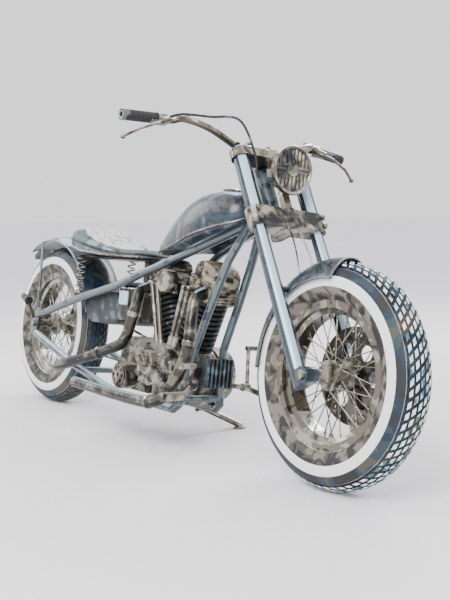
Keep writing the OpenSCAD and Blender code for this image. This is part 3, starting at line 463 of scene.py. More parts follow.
def make_finish(name, tones, scale=22.0, shift=0.0, metallic=0.0, roughness=0.4, grain=500.0,
                bump=0.05, coat=0.0, painted_light=(), paint=None):
    """A finish: mottled tones and grain on Object coordinates, painted highlights and painted shade laid as flat
    tones on the surfaces that face given ways, and an optional painter that changes the colour and height."""
    material = bpy.data.materials.new(f"{name}_finish")
    material.use_nodes = True
    tree = material.node_tree
    shader = tree.nodes["Principled BSDF"]
    where = tree.nodes.new("ShaderNodeTexCoord")
    mottle = place_group(tree, "Mottle", Vector=where.outputs["Object"], Scale=scale,
                         Shift=shift, Light=tones[0], Mid=tones[1], Dark=tones[2],
                         Deep=tones[3])
    grained = place_group(tree, "Grain", Vector=where.outputs["Object"], Scale=grain,
                          Roughness=roughness, Spread=0.12)
    colour, height = mottle.outputs["Color"], grained.outputs["Height"]
    # painted light: each entry lays a flat highlight or shade tone on the surfaces turned towards its direction
    for direction, level, tone in painted_light:
        painted_light_mask = place_group(tree, "Facing", Normal=where.outputs["Normal"],
                          Direction=tuple(unit(direction)), Level=level)
        colour = add_mix(tree, painted_light_mask.outputs["Mask"], colour, tone)
    if paint:
        colour, height = paint(tree, where, colour, height)
    raised = tree.nodes.new("ShaderNodeBump")
    raised.inputs["Strength"].default_value = bump
    raised.inputs["Distance"].default_value = 0.001
    tree.links.new(height, raised.inputs["Height"])
    tree.links.new(raised.outputs["Normal"], shader.inputs["Normal"])
    tree.links.new(colour, shader.inputs["Base Color"])
    tree.links.new(grained.outputs["Roughness"], shader.inputs["Roughness"])
    shader.inputs["Metallic"].default_value = metallic
    shader.inputs["Coat Weight"].default_value = coat
    shader.inputs["Coat Roughness"].default_value = 0.08
    return material


def paint_tyre(tree, where, colour, height, pale):
    """White band between two radii with a warm grey ring inside it; where the tread shows, the top faces of the
    blocks carry a painted highlight in pale tones when pale is 1."""
    tones = bpy.context.scene.chopper_colours
    sizes = bpy.context.scene.chopper_sizes
    radius, relief = attribute_value(tree, "radius"), attribute_value(tree, "relief")
    patch = add_noise(tree, where.outputs["Object"], 26.0, 1.0, 0.6).outputs["Fac"]
    # painted highlight on the blocks' top faces: slate, ice and white patches, kept only where pale is 1
    face = add_mix(tree, add_math(tree, "GREATER_THAN", patch, 0.41), tuple(tones.slate),
                   tuple(tones.ice))
    face = add_mix(tree, add_math(tree, "GREATER_THAN", patch, 0.50), face,
                   tuple(tones.white))
    highlight_shown = add_math(tree, "MULTIPLY", add_math(tree, "GREATER_THAN", relief, 0.93), pale)
    colour = add_mix(tree, highlight_shown, colour, face)
    inner = add_math(tree, "MULTIPLY", add_math(tree, "GREATER_THAN", radius, 0.1),
                     add_math(tree, "LESS_THAN", radius, sizes.white_low))
    ring = add_mix(tree, add_math(tree, "GREATER_THAN", patch, 0.54), tuple(tones.taupe_dark),
                   tuple(tones.taupe))
    ring = add_mix(tree, add_math(tree, "LESS_THAN", patch, 0.43), ring, tuple(tones.black))
    colour = add_mix(tree, inner, colour, ring)
    white = add_math(tree, "MULTIPLY", add_math(tree, "GREATER_THAN", radius, sizes.white_low),
                     add_math(tree, "LESS_THAN", radius, sizes.white_high))
    colour = add_mix(tree, white, colour, tuple(tones.white))
    return colour, height


def paint_seat(tree, where, colour, height):
    """Tooled cells in the middle with dark lines between them, and a grey rim."""
    tones = bpy.context.scene.chopper_colours
    inlay, tile = attribute_value(tree, "inlay"), attribute_value(tree, "tile")
    smear = add_noise(tree, where.outputs["Object"], 30.0, 2.0, 0.4).outputs["Fac"]
    cell = add_mix(tree, add_math(tree, "GREATER_THAN", smear, 0.56), tuple(tones.white),
                   tuple(np.array(tones.white) * 0.55))
    cell = add_mix(tree, add_math(tree, "LESS_THAN", tile, 0.0028), cell, tuple(tones.slate))
    return add_mix(tree, add_math(tree, "GREATER_THAN", inlay, 0.0), colour, cell), height


def paint_pipe(tree, where, colour, height):
    """A straw tint close to the port."""
    heat = attribute_value(tree, "heat")
    near = add_math(tree, "MULTIPLY", add_math(tree, "GREATER_THAN", heat, 0.0001),
                    add_math(tree, "LESS_THAN", heat, 0.10))
    return add_mix(tree, near, colour, colour_of("7d6e52")), height


class CHOPPER_OT_finishes(bpy.types.Operator):
    """Makes every finish and lays it on the frame's nodes by their material slots"""
    bl_idname = "chopper.finishes"
    bl_label = "Finishes"

    def execute(self, context):
        c = context.scene.chopper_colours
        mottle_group()
        grain_group()
        painted_light_group()
        metal = (c.taupe_light, c.taupe, c.taupe_dark, c.black)
        # top is the way the painted highlights face: up, a little ahead and to the right; the next line gives the
        # way of the fork legs' painted highlight stripe, ahead of the legs and to the right
        top = UP + 0.25 * AHEAD - 0.35 * LEFT
        fork_highlight_way = np.cross(LEFT, STEER_AXIS) - 0.62 * LEFT
        # frame paint: painted shade in teal on the undersides, painted highlight in ice along the tops
        make_finish("frame_paint", (c.slate, c.slate, c.teal, c.teal), 10, 0.03, 0.1, 0.3,
                    coat=0.6, painted_light=[(-UP, 0.35, c.teal), (top, 0.86, c.ice)])
        # body paint: painted highlight in ice on the tank's top front and the fenders' crests
        make_finish("body_paint", (c.slate, c.teal, c.navy, c.taupe_dark), 12, -0.01, 0.05, 0.32,
                    coat=0.35, painted_light=[(top, 0.985, c.ice)])
        make_finish("seat_leather", (colour_of("8b9698"), c.slate, c.slate, c.teal), 11, 0.0,
                    0.0, 0.55, grain=260, bump=0.25, paint=paint_seat)
        make_finish("seat_steel", (c.taupe_dark, c.taupe_dark, c.black, c.black), 16, 0, 0.4, 0.45)
        # chrome: painted shade in dark taupe below, painted highlight in white above
        make_finish("chrome", (c.taupe_light, c.taupe, c.taupe, c.taupe_dark), 14, 0.02, 0.7,
                    0.2, bump=0.02, painted_light=[(-UP, 0.4, c.taupe_dark), (top, 0.8, c.white)])
        make_finish("black_plastic", (c.slate, c.teal, c.black, c.black), 12, -0.07, 0, 0.42)
        make_finish("battery_paint", (c.taupe, c.taupe_dark, c.taupe_dark, c.black), 14, 0, 0.2, 0.4)
        # engine alloy: painted highlight in light taupe on the faces turned up
        make_finish("engine_alloy", metal, 17, 0.0, 0.3, 0.42, bump=0.12,
                    painted_light=[(top, 0.9, c.taupe_light)])
        make_finish("engine_warm", (colour_of("aaa48e"), colour_of("837c68"), c.taupe_dark,
                                    c.black), 19, 0.0, 0.3, 0.4, bump=0.1)
        make_finish("cylinder_iron", (c.slate, c.black, c.black, colour_of("101213")), 16, -0.05,
                    0.2, 0.5, bump=0.15)
        # exhaust steel: painted shade in black below, painted highlight in ice along the top; the straw tint near
        # the port is heat colour
        make_finish("exhaust_steel", (c.taupe, c.taupe_dark, c.taupe_dark, c.black), 13, 0.0,
                    0.5, 0.3, paint=paint_pipe, painted_light=[(-UP, 0.3, c.black), (top, 0.93, c.ice)])
        make_finish("bare_steel", metal, 16, 0.02, 0.6, 0.32)
        # fork paint: a painted highlight stripe in ice down the front of the legs
        make_finish("fork_paint", (c.teal, c.teal, c.navy, c.navy), 8, 0.0, 0.05, 0.25,
                    coat=0.8, painted_light=[(fork_highlight_way, 0.86, c.ice)])
        make_finish("grip_rubber", (c.slate, c.black, c.black, c.black), 12, 0, 0, 0.6, bump=0.2)
        # the front tyre's blocks carry painted highlights (pale 1), the rear tyre's none (pale 0)
        for name, pale in (("tyre", 1.0), ("tyre_rear", 0.0)):
            make_finish(name, (c.taupe_dark, c.teal, c.navy, c.black), 7, -0.02, 0, 0.6,
                        bump=0.15, paint=lambda *q, pale=pale: paint_tyre(*q, pale))
        make_finish("signal_panel", (c.ice, c.ice, c.ice, c.ice), 8, 0.1, 0, 0.25, coat=0.5)
        make_finish("lamp_glass", (c.slate, c.teal, c.black, c.black), 20, -0.03, 0.0, 0.15,
                    bump=0.05, coat=1.0)
        for part in frame["record"]["subparts"]:
            node = frame["nodes"][part["node"]]
            node.data.materials.clear()
            node.data.materials.append(bpy.data.materials[f"{part['material_slot']}_finish"])
        return {"FINISHED"}


# ---------- wheels ----------

def tyre_grid(centre, sizes):
    """A tyre: the section is a circle round the core, whose radius drops by the tread's
    depth between blocks; blocks repeat round the wheel and across it, and each row is
    shifted by half a block. The inner wall closes the section."""
    edge = np.array([0, 0.13, 0.21, 0.5, 0.79, 0.87])
    lift = np.array([0, 0, 1, 1, 1, 0], float)
    blocks, columns = sizes.tread_blocks, sizes.tread_columns
    around = (np.arange(blocks)[:, None] + edge).ravel() / blocks
    up_u = np.tile(lift, blocks)
    across = np.append((np.arange(columns)[:, None] + edge).ravel(), columns)
    up_v = np.append(np.tile(lift, columns), 0)
    tread = sizes.tread_half * (2 * across / columns - 1)
    bead = math.radians(137)
    side = np.linspace(sizes.tread_half, bead, 17)[1:]
    inner = np.linspace(bead, -bead, 14)
    angle = np.concatenate([-side[::-1], tread, side, inner])
    shift = np.concatenate([0 * side, across, 0 * side + columns,
                            np.linspace(columns, 0, len(inner))])
    raised = np.concatenate([0 * side, up_v, 0 * side, 0 * inner])
    wall = np.concatenate([1 + 0 * side, 0 * across, 1 + 0 * side, 0 * inner])
    inside = np.concatenate([0 * side, 0 * across, 0 * side, 1 + 0 * inner])
    relief = up_u[:, None] * raised[None]
    radius = TYRE_R - sizes.tread_depth * (1 - relief) * (1 - wall) * (1 - inside)
    radius = radius - 0.012 * inside
    reach = CORE_R + TYRE_R * np.cos(angle)
    theta = 2 * np.pi * (around[:, None] + 0.5 * shift[None] / blocks)
    out = CORE_R + radius * np.cos(angle)
    points = np.stack([out * np.cos(theta), np.broadcast_to(radius * np.sin(angle), out.shape),
                       out * np.sin(theta)], -1) + centre
    flat = np.broadcast_to(reach * wall, out.shape)
    return points, {"radius": flat, "relief": relief}


class CHOPPER_OT_tyres(bpy.types.Operator):
    """Makes both tyres with lozenge blocks and white bands"""
    bl_idname = "chopper.tyres"
    bl_label = "Tyres"

    def execute(self, context):
        for end, x in (("front", WHEELBASE), ("rear", 0.0)):
            points, values = tyre_grid(np.array([x, 0, 0]), context.scene.chopper_sizes)
            piece = build_grids(f"{end}_tyre_tread", [points], wrap_u=True, values=values,
                                sharp=30)
            settle(piece, f"{end}_wheel", "tyre", f"{end}_tyre")
            # the rear tyre takes the finish with no painted highlights on its blocks
            if end == "rear":
                piece.data.materials[0] = bpy.data.materials["tyre_rear_finish"]
        return {"FINISHED"}


class CHOPPER_OT_wheel_trim(bpy.types.Operator):
    """Makes the spoke nipples, rim beads and hub bolts of both wheels"""
    bl_idname = "chopper.wheel_trim"
    bl_label = "Wheel trim"

    def execute(self, context):
        lace = math.radians(40.5)
        for end, x in (("front", WHEELBASE), ("rear", 0.0)):
            centre = np.array([x, 0, 0])
            side, way, i = (q.ravel() for q in np.meshgrid([-1, 1], [-1, 1], np.arange(10)))
            at_hub = (i + 0.5 * (way < 0) + 0.5 * (side < 0)) * 2 * np.pi / 10
            at_rim = at_hub + way * lace
            spin = lambda r, a, y: np.stack([r * np.cos(a), y, r * np.sin(a)], -1) + centre
            outer = spin(0.181, at_rim, side * (0.008 + way * 0.003))
            inner = spin(0.040, at_hub, side * (0.0325 + way * 0.003))
            nipple = turned([(0, 0), (0.0028, 0), (0.0030, 0.010), (0.0042, 0.013), (0, 0.013)],
                            (0, 0, 0), (0, 0, 1), 8)
            settle(repeated(f"{end}_nipples", nipple, outer - 0.011 * unit(outer - inner),
                            outer - inner, wrap_u=True, wrap_v=False),
                   f"{end}_wheel", "chrome")
            a = np.linspace(0, 2 * np.pi, 160, endpoint=False)
            beads = [tube(spin(0.2245, a, 0 * a + s * 0.0455), 0.0028, 8, (0, 1, 0), loop=True)
                     for s in (-1, 1)]
            settle(build_grids(f"{end}_rim_beads", beads, wrap_u=True, sharp=0),
                   f"{end}_wheel", "chrome")
            a = np.linspace(0, 2 * np.pi, 6, endpoint=False) + 0.3
            y = 0.073 if end == "front" else 0.095
            r = 0.040 if end == "front" else 0.042
            settle(repeated(f"{end}_hub_bolts", bolt_head(0.0055, 0.006), spin(r, a, 0 * a + y),
                            (0, 1, 0), sharp=25), f"{end}_wheel", "chrome")
        return {"FINISHED"}


# ---------- tank, seat ----------

def rounded_end(u, tail, nose):
    """Quarter circles at both ends of a form, and 1 between them."""
    low = np.sqrt(np.clip(1 - (1 - u / tail) ** 2, 0, 1))
    high = np.sqrt(np.clip(1 - (1 - (1 - u) / nose) ** 2, 0, 1))
    return np.where(u < tail, low, np.where(u > 1 - nose, high, 1.0))


def tank_points(u, a, grow=0.0):
    """The tank: superellipse sections whose width swells as a sine between tail and nose,
    a back that bulges over a straight line, and a tunnel over the frame's top tubes."""
    x = TANK_TAIL + u * (TANK_NOSE - TANK_TAIL)
    e = rounded_end(u, 0.1, 0.12)
    base = np.maximum(0.326 + (x - TANK_TAIL) * 0.05, 0.358 + (x - 1.065) * 0.3)
    h = 0.334 + 0.204 * u + 0.101 * np.sin(np.pi * u) - base
    w = e * (0.048 + 0.030 * u + 0.059 * np.sin(np.pi * u ** 1.15))
    waist = base + h * 0.34
    top = waist + (base + h - waist) * e
    low = waist - (waist - base) * e
    y = (w + grow) * np.sign(np.cos(a)) * np.abs(np.cos(a)) ** 0.72
    lift = e * 0.034 * np.clip(1 - (y / 0.080) ** 4, 0, 1)
    s = np.sin(a)
    z = np.where(s >= 0, waist + (top - waist) * np.abs(s) ** 0.9,
                 waist - (waist - low) * np.abs(s) ** 0.55 + lift * s**2)
    return np.stack(np.broadcast_arrays(x, y, z), -1)


class CHOPPER_OT_tank(bpy.types.Operator):
    """Makes the fuel tank's shell, its side seams and the filler cap's knurl"""
    bl_idname = "chopper.tank"
    bl_label = "Fuel tank"

    def execute(self, context):
        u = 0.5 - 0.5 * np.cos(np.linspace(0, np.pi, 110))
        a = np.linspace(0, 2 * np.pi, 96, endpoint=False)
        shell = build_grids("tank_shell", [tank_points(u[:, None], a[None])], sharp=50)
        settle(shell, "chassis", "body_paint", "fuel_tank")
        run = np.linspace(0.03, 0.985, 60)
        seams = [tube(tank_points(run, np.full(60, q), 0.0015), 0.0042, 10, (0, 0, 1))
                 for q in (-0.35, np.pi + 0.35)]
        settle(build_grids("tank_seams", seams, sharp=0), "chassis", "chrome")
        cap_at = 0.7
        top = np.array([TANK_TAIL + cap_at * (TANK_NOSE - TANK_TAIL), 0,
                        0.334 + 0.204 * cap_at + 0.101 * math.sin(cap_at * math.pi)])
        a = np.linspace(0, 2 * np.pi, 30, endpoint=False)
        rib = rounded_block((0, 0, 0), (0.0014, 0.0014, 0.0036), n=6, m=8)
        settle(repeated("cap_knurl", rib, top + np.stack([0.030 * np.cos(a), 0.030 * np.sin(a),
                        0 * a + 0.005], -1), (0, 0, 1)), "chassis", "chrome")
        return {"FINISHED"}


def seat_width(u):
    """Half width of the seat: a broad cosine hump about its back third, drawn in at the
    back and the nose."""
    hump = np.cos(np.minimum(np.pi / 2, np.radians(100 * np.abs(u - 0.27)))) ** 1.6
    return 0.138 * (0.36 + 0.64 * hump) * np.maximum(0.02, rounded_end(u, 0.14, 0.07))


def seat_points(u, a):
    """The cushion: superellipse sections, dished in the middle, its back rim high."""
    x = SEAT_BACK + u * SEAT_LENGTH
    w = seat_width(u)
    e = np.maximum(0.05, rounded_end(u, 0.1, 0.08))
    fall = np.cos(np.minimum(np.pi / 2, np.radians(150 * np.maximum(0, u - 0.12)))) ** 2
    rim = 0.344 + 0.078 * fall
    dip = 0.016 * np.exp(-((u - 0.40) / 0.20) ** 2)
    low = 0.306 + 0.040 * np.maximum(0, 1 - u / 0.3) ** 1.5
    s = np.sin(a)
    y = w * np.sign(np.cos(a)) * np.abs(np.cos(a)) ** 0.7
    top = rim - dip * (1 - (y / np.maximum(w, 0.001)) ** 2)
    mid = low + (top - low) * 0.4
    z = np.where(s >= 0, mid + (top - mid) * e * np.abs(s) ** 0.6,
                 mid - (mid - low) * e * np.abs(s) ** 0.6)
    return np.stack(np.broadcast_arrays(x, y, z), -1)


def cell_border(x, y, size):
    """Distance to the border between cells: one jittered seed lies in each square of a
    net, and the second-nearest seed's distance less the nearest's falls to nothing at a
    border."""
    gx, gy = np.floor(x / size), np.floor(y / size)
    found = []
    for ox, oy in ((i, j) for i in (-1, 0, 1) for j in (-1, 0, 1)):
        cx, cy = gx + ox, gy + oy
        jx = np.modf(np.abs(np.sin(cx * 127.1 + cy * 311.7) * 437.585))[0]
        jy = np.modf(np.abs(np.sin(cx * 269.5 + cy * 183.3) * 437.585))[0]
        found.append(np.hypot((cx + 0.15 + 0.7 * jx) * size - x,
                              (cy + 0.15 + 0.7 * jy) * size - y))
    nearest = np.sort(np.stack(found), 0)
    return nearest[1] - nearest[0]


class CHOPPER_OT_seat(bpy.types.Operator):
    """Makes the seat: cushion with a tooled inlay and seams, piping, pan and springs"""
    bl_idname = "chopper.seat"
    bl_label = "Seat"

    def execute(self, context):
        size = context.scene.chopper_sizes.tile
        u = (0.5 - 0.5 * np.cos(np.linspace(0, np.pi, 230)))[:, None]
        u = 0.5 * u + 0.5 * np.linspace(0, 1, 230)[:, None]
        a = np.concatenate([np.linspace(0, np.pi, 190, endpoint=False),
                            np.linspace(np.pi, 2 * np.pi, 60, endpoint=False)])[None]
        points = seat_points(u, a)
        across = points[..., 1] / np.maximum(seat_width(u), 0.001)
        inlay = 1 - ((u - 0.37) / 0.335) ** 2 - (across / 0.80) ** 2
        inlay = np.where(np.sin(a) > 0.05, inlay, -1.0) + 0 * across
        tile = cell_border(points[..., 0], points[..., 1] * 1.15, size)
        pillow = 0.0026 * np.clip(tile / 0.006, 0, 1) ** 0.5 - 0.0010
        seam = -0.0030 * np.exp(-(inlay / 0.035) ** 2)
        rib = -0.0024 * np.exp(-((inlay + 0.28) / 0.05) ** 2)
        lift = np.where(inlay > 0.02, pillow, 0) + np.where(np.sin(a) > 0.05, seam + rib, 0)
        points = points + np.stack([0 * lift, 0 * lift, lift], -1)
        cushion = build_grids("seat_leather_cushion", [points], values={
            "inlay": inlay, "tile": np.broadcast_to(tile, inlay.shape)}, sharp=60)
        settle(cushion, "chassis", "seat_leather", "seat_cushion")
        run = np.concatenate([np.linspace(0.004, 0.996, 90), np.linspace(0.996, 0.004, 90)])
        side = np.concatenate([np.full(90, 0.03), np.full(90, np.pi - 0.03)])
        piping = tube(seat_points(run, side), 0.0048, 10, (0, 0, 1), loop=True)
        settle(build_grids("seat_piping", [piping], wrap_u=True, sharp=0), "chassis",
               "seat_steel")
        run = np.linspace(0.1, 0.93, 50)
        rails = [tube(seat_points(run, np.full(50, q)) + np.array([0, s * 0.003, 0]), 0.0050, 10,
                      (0, 0, 1)) for q, s in ((-0.45, 1), (np.pi + 0.45, -1))]
        settle(build_grids("seat_side_rails", rails, sharp=0), "chassis", "chrome")
        self.pan_and_springs()
        return {"FINISHED"}

    def pan_and_springs(self):
        """A flat plate under the cushion, two coils, their cups and the nose bracket."""
        u = np.linspace(0.16, 0.98, 60)[:, None]
        a = np.linspace(0, 2 * np.pi, 40, endpoint=False)[None]
        bend = lambda q, p: np.sign(q) * np.abs(q) ** p
        w = 0.86 * seat_width(u)
        plate_z = 0.3027
        plate = np.stack(np.broadcast_arrays(
            SEAT_BACK + u * SEAT_LENGTH, w * bend(np.cos(a), 0.25),
            plate_z + 0.003 * bend(np.sin(a), 0.4)), -1)
        ears = [rounded_block((SPRING_X, s * 0.106, plate_z), (0.022, 0.034, 0.003))
                for s in (-1, 1)]
        bracket = [rounded_block((0.688, 0, 0.260), (0.015, 0.022, 0.041))]
        settle(build_grids("seat_plate", [with_poles(plate)] + ears + bracket), "chassis",
               "seat_steel", "seat_pan")
        turns, low, high, coil_r = 6.5, 0.150, 0.2985, 0.0155
        t = np.linspace(0, 1, 260)
        coil = np.stack([SPRING_X + coil_r * np.cos(2 * np.pi * turns * t),
                         SPRING_Y + coil_r * np.sin(2 * np.pi * turns * t),
                         low + (high - low) * t], -1)
        settle(build_grids("seat_springs", [tube(q, 0.0030, 8, (0, 0, 1)) for q in
                                            (coil, mirrored(coil))], sharp=0),
               "chassis", "chrome")
        cup = [(0, -0.004), (0.019, -0.004), (0.019, 0.006), (0.012, 0.010), (0, 0.010)]
        cups = [turned(cup, (SPRING_X, s * SPRING_Y, 0.1446), (0, 0, 1), 28) for s in (-1, 1)]
        settle(build_grids("spring_cups", cups, wrap_u=True, wrap_v=False),
               "chassis", "seat_steel")


# ---------- fenders ----------

def fender_edge(centre, crown, edge, half, low, high):
    """The rim of a fender: both skirts' arcs and the crown's section at its two ends."""
    a = np.radians(np.linspace(low, high, 70))
    arc = lambda s: np.stack([edge * np.cos(a), np.full(70, s * half), edge * np.sin(a)], -1)
    s = np.linspace(-1, 1, 41)
    r = crown - (crown - edge) * np.abs(s) ** 2.4
    end = lambda q: np.stack([r * math.cos(q), s * half, r * math.sin(q)], -1)
    return [centre + q for q in (arc(1), arc(-1), end(a[0]), end(a[-1]))]


class CHOPPER_OT_fender_trim(bpy.types.Operator):
    """Makes the rolled edges of both fenders"""
    bl_idname = "chopper.fender_trim"
    bl_label = "Fender trim"

    def execute(self, context):
        for end, body, x, crown, edge, half, low, high in (
                ("rear", "chassis", 0.0, 0.3835, 0.3635, 0.0835, 12, 122),
                ("front", "steering", WHEELBASE, 0.3505, 0.2860, 0.0785, 88, 182)):
            lines = fender_edge(np.array([x, 0, 0]), crown, edge, half, low, high)
            axes = ((0, 1, 0), (0, 1, 0), (1, 0, 0.2), (1, 0, 0.2))
            settle(build_grids(f"{end}_fender_rim", [tube(p, 0.0034, 8, o) for p, o in
                                                     zip(lines, axes)], sharp=0),
                   body, "frame_paint")
        return {"FINISHED"}


# ---------- pipes, bars, cables ----------

def open_tube(path, radius, wall, sides, over=None, deep=6):
    """A tube whose far end is open: the outer skin runs out, turns over the lip and comes
    back inside."""
    outer = tube(path, radius, sides, over, capped=False)
    inner = tube(path, radius - wall, sides, over, capped=False)[-deep:][::-1]
    start = np.repeat(outer[:1].mean(1, keepdims=True), sides, 1)
    stop = np.repeat(inner[-1:].mean(1, keepdims=True), sides, 1)
    return np.concatenate([start, outer, inner, stop])


# Both pipes' points, from the port to the open end
REAR_PIPE = [(0.800, -0.0606, 0.200), (0.800, -0.070, 0.200), (0.800, -0.080, 0.200),
             (0.802, -0.110, 0.184), (0.810, -0.124, 0.140), (0.796, -0.134, 0.060),
             (0.776, -0.140, 0.008), (0.720, -0.148, -0.032), (0.430, -0.172, -0.123),
             (0.335, -0.176, -0.146)]
FRONT_PIPE = [(1.160, -0.0606, 0.200), (1.160, -0.070, 0.200), (1.160, -0.080, 0.200),
              (1.164, -0.112, 0.178), (1.176, -0.128, 0.110), (1.188, -0.138, 0.030),
              (1.176, -0.150, -0.050), (1.140, -0.166, -0.130), (1.076, -0.178, -0.182),
              (0.920, -0.182, -0.196), (0.500, -0.184, -0.192)]


class CHOPPER_OT_exhaust(bpy.types.Operator):
    """Makes both exhaust pipes with open ends, port flanges and clamps"""
    bl_idname = "chopper.exhaust"
    bl_label = "Exhaust pipes"

    def execute(self, context):
        r = context.scene.chopper_sizes.pipe_r
        grids, heat, bands = [], [], []
        for route in (REAR_PIPE, FRONT_PIPE):
            path = smooth_line(route, 14)
            grid = open_tube(path, r, 0.002, 32, deep=10)
            run = np.append(0, np.cumsum(np.linalg.norm(np.diff(path, axis=0), axis=1)))
            run = np.concatenate([run[:1], run, run[-10:][::-1], run[-10:-9]])
            heat.append(np.repeat(run[:, None], 32, 1).ravel())
            grids.append(grid)
            flange = [(0.018, 0), (0.030, 0), (0.030, 0.008), (0.024, 0.010), (0.018, 0.010)]
            bands.append(turned(flange, path[0] + [0, 0.0003, 0], (0, -1, 0), 36))
            for at in (len(path) // 2, len(path) - 24):
                along = unit(path[at + 1] - path[at - 1])
                band = [(r - 0.001, -0.009), (r + 0.0022, -0.009), (r + 0.0030, -0.006),
                        (r + 0.0030, 0.006), (r + 0.0022, 0.009), (r - 0.001, 0.009)]
                bands.append(turned(band, path[at], along, 36))
        pipes = build_grids("exhaust_tubes", grids, values={"heat": np.concatenate(heat)},
                            sharp=50)
        settle(pipes, "chassis", "exhaust_steel", "exhaust_pipes")
        settle(build_grids("exhaust_clamps", bands[0:1] + bands[3:4], wrap_u=True),
               "chassis", "bare_steel")
        settle(build_grids("exhaust_bands", bands[1:3] + bands[4:6], wrap_u=True),
               "chassis", "chrome")
        return {"FINISHED"}


# The bar's clamp, and the points of its left half from the clamp to its end
CLAMP = on_fork([STEM_X + 0.008, 0, 0.840])
BAR_SIDE = [CLAMP + q for q in np.array([
    (0, 0, 0), (0, 0.060, 0), (0, 0.084, 0.004), (0.002, 0.120, 0.018), (0.002, 0.190, 0.044),
    (-0.006, 0.228, 0.056), (-0.030, 0.254, 0.066), (-0.070, 0.270, 0.074)])]
BAR_SIDE += [np.array([CLAMP[0] + back, y, z]) for back, y, z in (
    (-0.092, 0.290, 0.756), (-0.098, 0.318, 0.754), (-0.104, 0.475, 0.742))]
BAR_END = BAR_SIDE[-1]
GRIP_DIR = unit(BAR_SIDE[-1] - BAR_SIDE[-2])


class CHOPPER_OT_handlebar(bpy.types.Operator):
    """Makes the bent handlebar with open ends and its ribbed grips"""
    bl_idname = "chopper.handlebar"
    bl_label = "Handlebar and grips"

    def execute(self, context):
        s = context.scene.chopper_sizes
        half = smooth_line(BAR_SIDE[1:], 10)
        straight = BAR_SIDE[-2] + np.linspace(0, 1, 30)[:, None] * (BAR_END - BAR_SIDE[-2])
        half = np.vstack([BAR_SIDE[:1], half[:-11], straight])
        whole = open_tube(half, s.bar_r, s.bar_r - 0.0095, 28, (0.3, 0, 1), deep=8)
        settle(build_grids("bent_handlebar", [whole, mirrored(whole)], sharp=50), "steering",
               "chrome", "handlebar")
        t = np.linspace(0, 1, 120)
        ribs = s.grip_r - 0.0016 * (0.5 - 0.5 * np.cos(2 * np.pi * 18 * t)) ** 2
        ribs = np.where((t < 0.05) | (t > 0.95), s.grip_r, ribs)
        outer = np.stack([ribs, -s.grip_length * (1 - t)], -1)
        bore = np.array([(s.bar_r + 0.0003, 0), (s.bar_r + 0.0003, -s.grip_length)])
        grip = turned(np.vstack([outer, bore]), BAR_END, GRIP_DIR, 40)
        settle(build_grids("ribbed_grips", [grip, mirrored(grip)], wrap_u=True), "steering",
               "grip_rubber", "grips")
        return {"FINISHED"}


class CHOPPER_OT_lines(bpy.types.Operator):
    """Makes the brake hose, and the thin steel lines that run down to the front fender"""
    bl_idname = "chopper.lines"
    bl_label = "Hose and brake lines"

    def execute(self, context):
        s = context.scene.chopper_sizes
        perch = BAR_END - GRIP_DIR * (s.grip_length + 0.016)
        start = np.array([perch[0] + 0.034, -perch[1] + 0.014, perch[2] + 0.006])
        route = [start, start + [0.016, 0.040, 0.014], start + [0.066, 0.110, 0.014],
                 start + [0.152, 0.165, 0.006], LAMP + [-0.088, -0.096, 0.050],
                 LAMP + [-0.058, -0.096, -0.030], LAMP + [-0.020, -0.084, -0.120]]
        path = smooth_line(route, 12)
        hose = build_grids("front_brake_hose", [tube(path, s.hose_d / 2, 12)], sharp=0)
        settle(hose, "steering", "grip_rubber", "brake_hose")
        lines = []
        for y in (-0.030, 0.012):
            ends = [on_fork([-0.004, y, 0.520]), on_fork([0.004, y, 0.470]),
                    on_fork([0.010, y * 1.3, 0.400]), on_fork([0.002, y * 1.4, 0.338])]
            lines.append(tube(smooth_line(ends, 10), 0.0024, 8, (0, 1, 0)))
        settle(build_grids("brake_lines", lines, sharp=0), "steering", "bare_steel")
        return {"FINISHED"}


# ---------- headlight ----------

class CHOPPER_OT_headlight(bpy.types.Operator):
    """Makes the headlight's rims, its slotted grille and the boss in its middle"""
    bl_idname = "chopper.headlight"
    bl_label = "Headlight grille"

    def execute(self, context):
        a = np.linspace(0, 2 * np.pi, 96, endpoint=False)
        ring = lambda r, x: LAMP + np.stack([0 * a + x, r * np.cos(a), r * np.sin(a)], -1)
        rims = [tube(ring(LAMP_R - 0.0045, -0.001), 0.0055, 14, (1, 0, 0), loop=True),
                tube(ring(0.070, -0.002), 0.0030, 10, (1, 0, 0), loop=True)]
        settle(build_grids("lamp_rim", rims, wrap_u=True, sharp=0), "steering", "chrome")
        bars = []
        for y in np.linspace(-0.054, 0.054, 8):
            reach = math.sqrt(0.069**2 - y**2)
            middle = 0.020 if abs(y) < 0.03 else 0.006
            for low, high in ((-reach, -middle), (middle, reach)):
                run = np.linspace(low, high, 14)
                line = LAMP + np.stack([0 * run - 0.002, 0 * run + y, run], -1)
                fat = 0.0050 * np.sin(np.pi * np.linspace(0.12, 0.88, 14)) ** 0.35
                bars.append(tube(line, fat, 12, (1, 0, 0)))
        cross = np.linspace(-0.068, 0.068, 30)
        for z in (-0.004, 0.010):
            bars.append(tube(LAMP + np.stack([0 * cross - 0.0015, cross, 0 * cross + z], -1),
                             0.0036, 10, (1, 0, 0)))
        t = np.linspace(0, np.pi / 2, 14)
        dome = np.stack([0.023 * np.cos(t), 0.007 * np.sin(t)], -1)
        dome = np.vstack([[0.0, -0.002], [0.023, -0.002], dome])
        settle(build_grids("lamp_grille", bars, sharp=0), "steering", "engine_alloy")
        settle(build_grids("lamp_boss", [turned(dome, LAMP + [-0.001, 0, 0.002], (1, 0, 0), 32)],
                           wrap_u=True, wrap_v=False), "steering", "engine_alloy")
        return {"FINISHED"}


# ---------- engine ----------

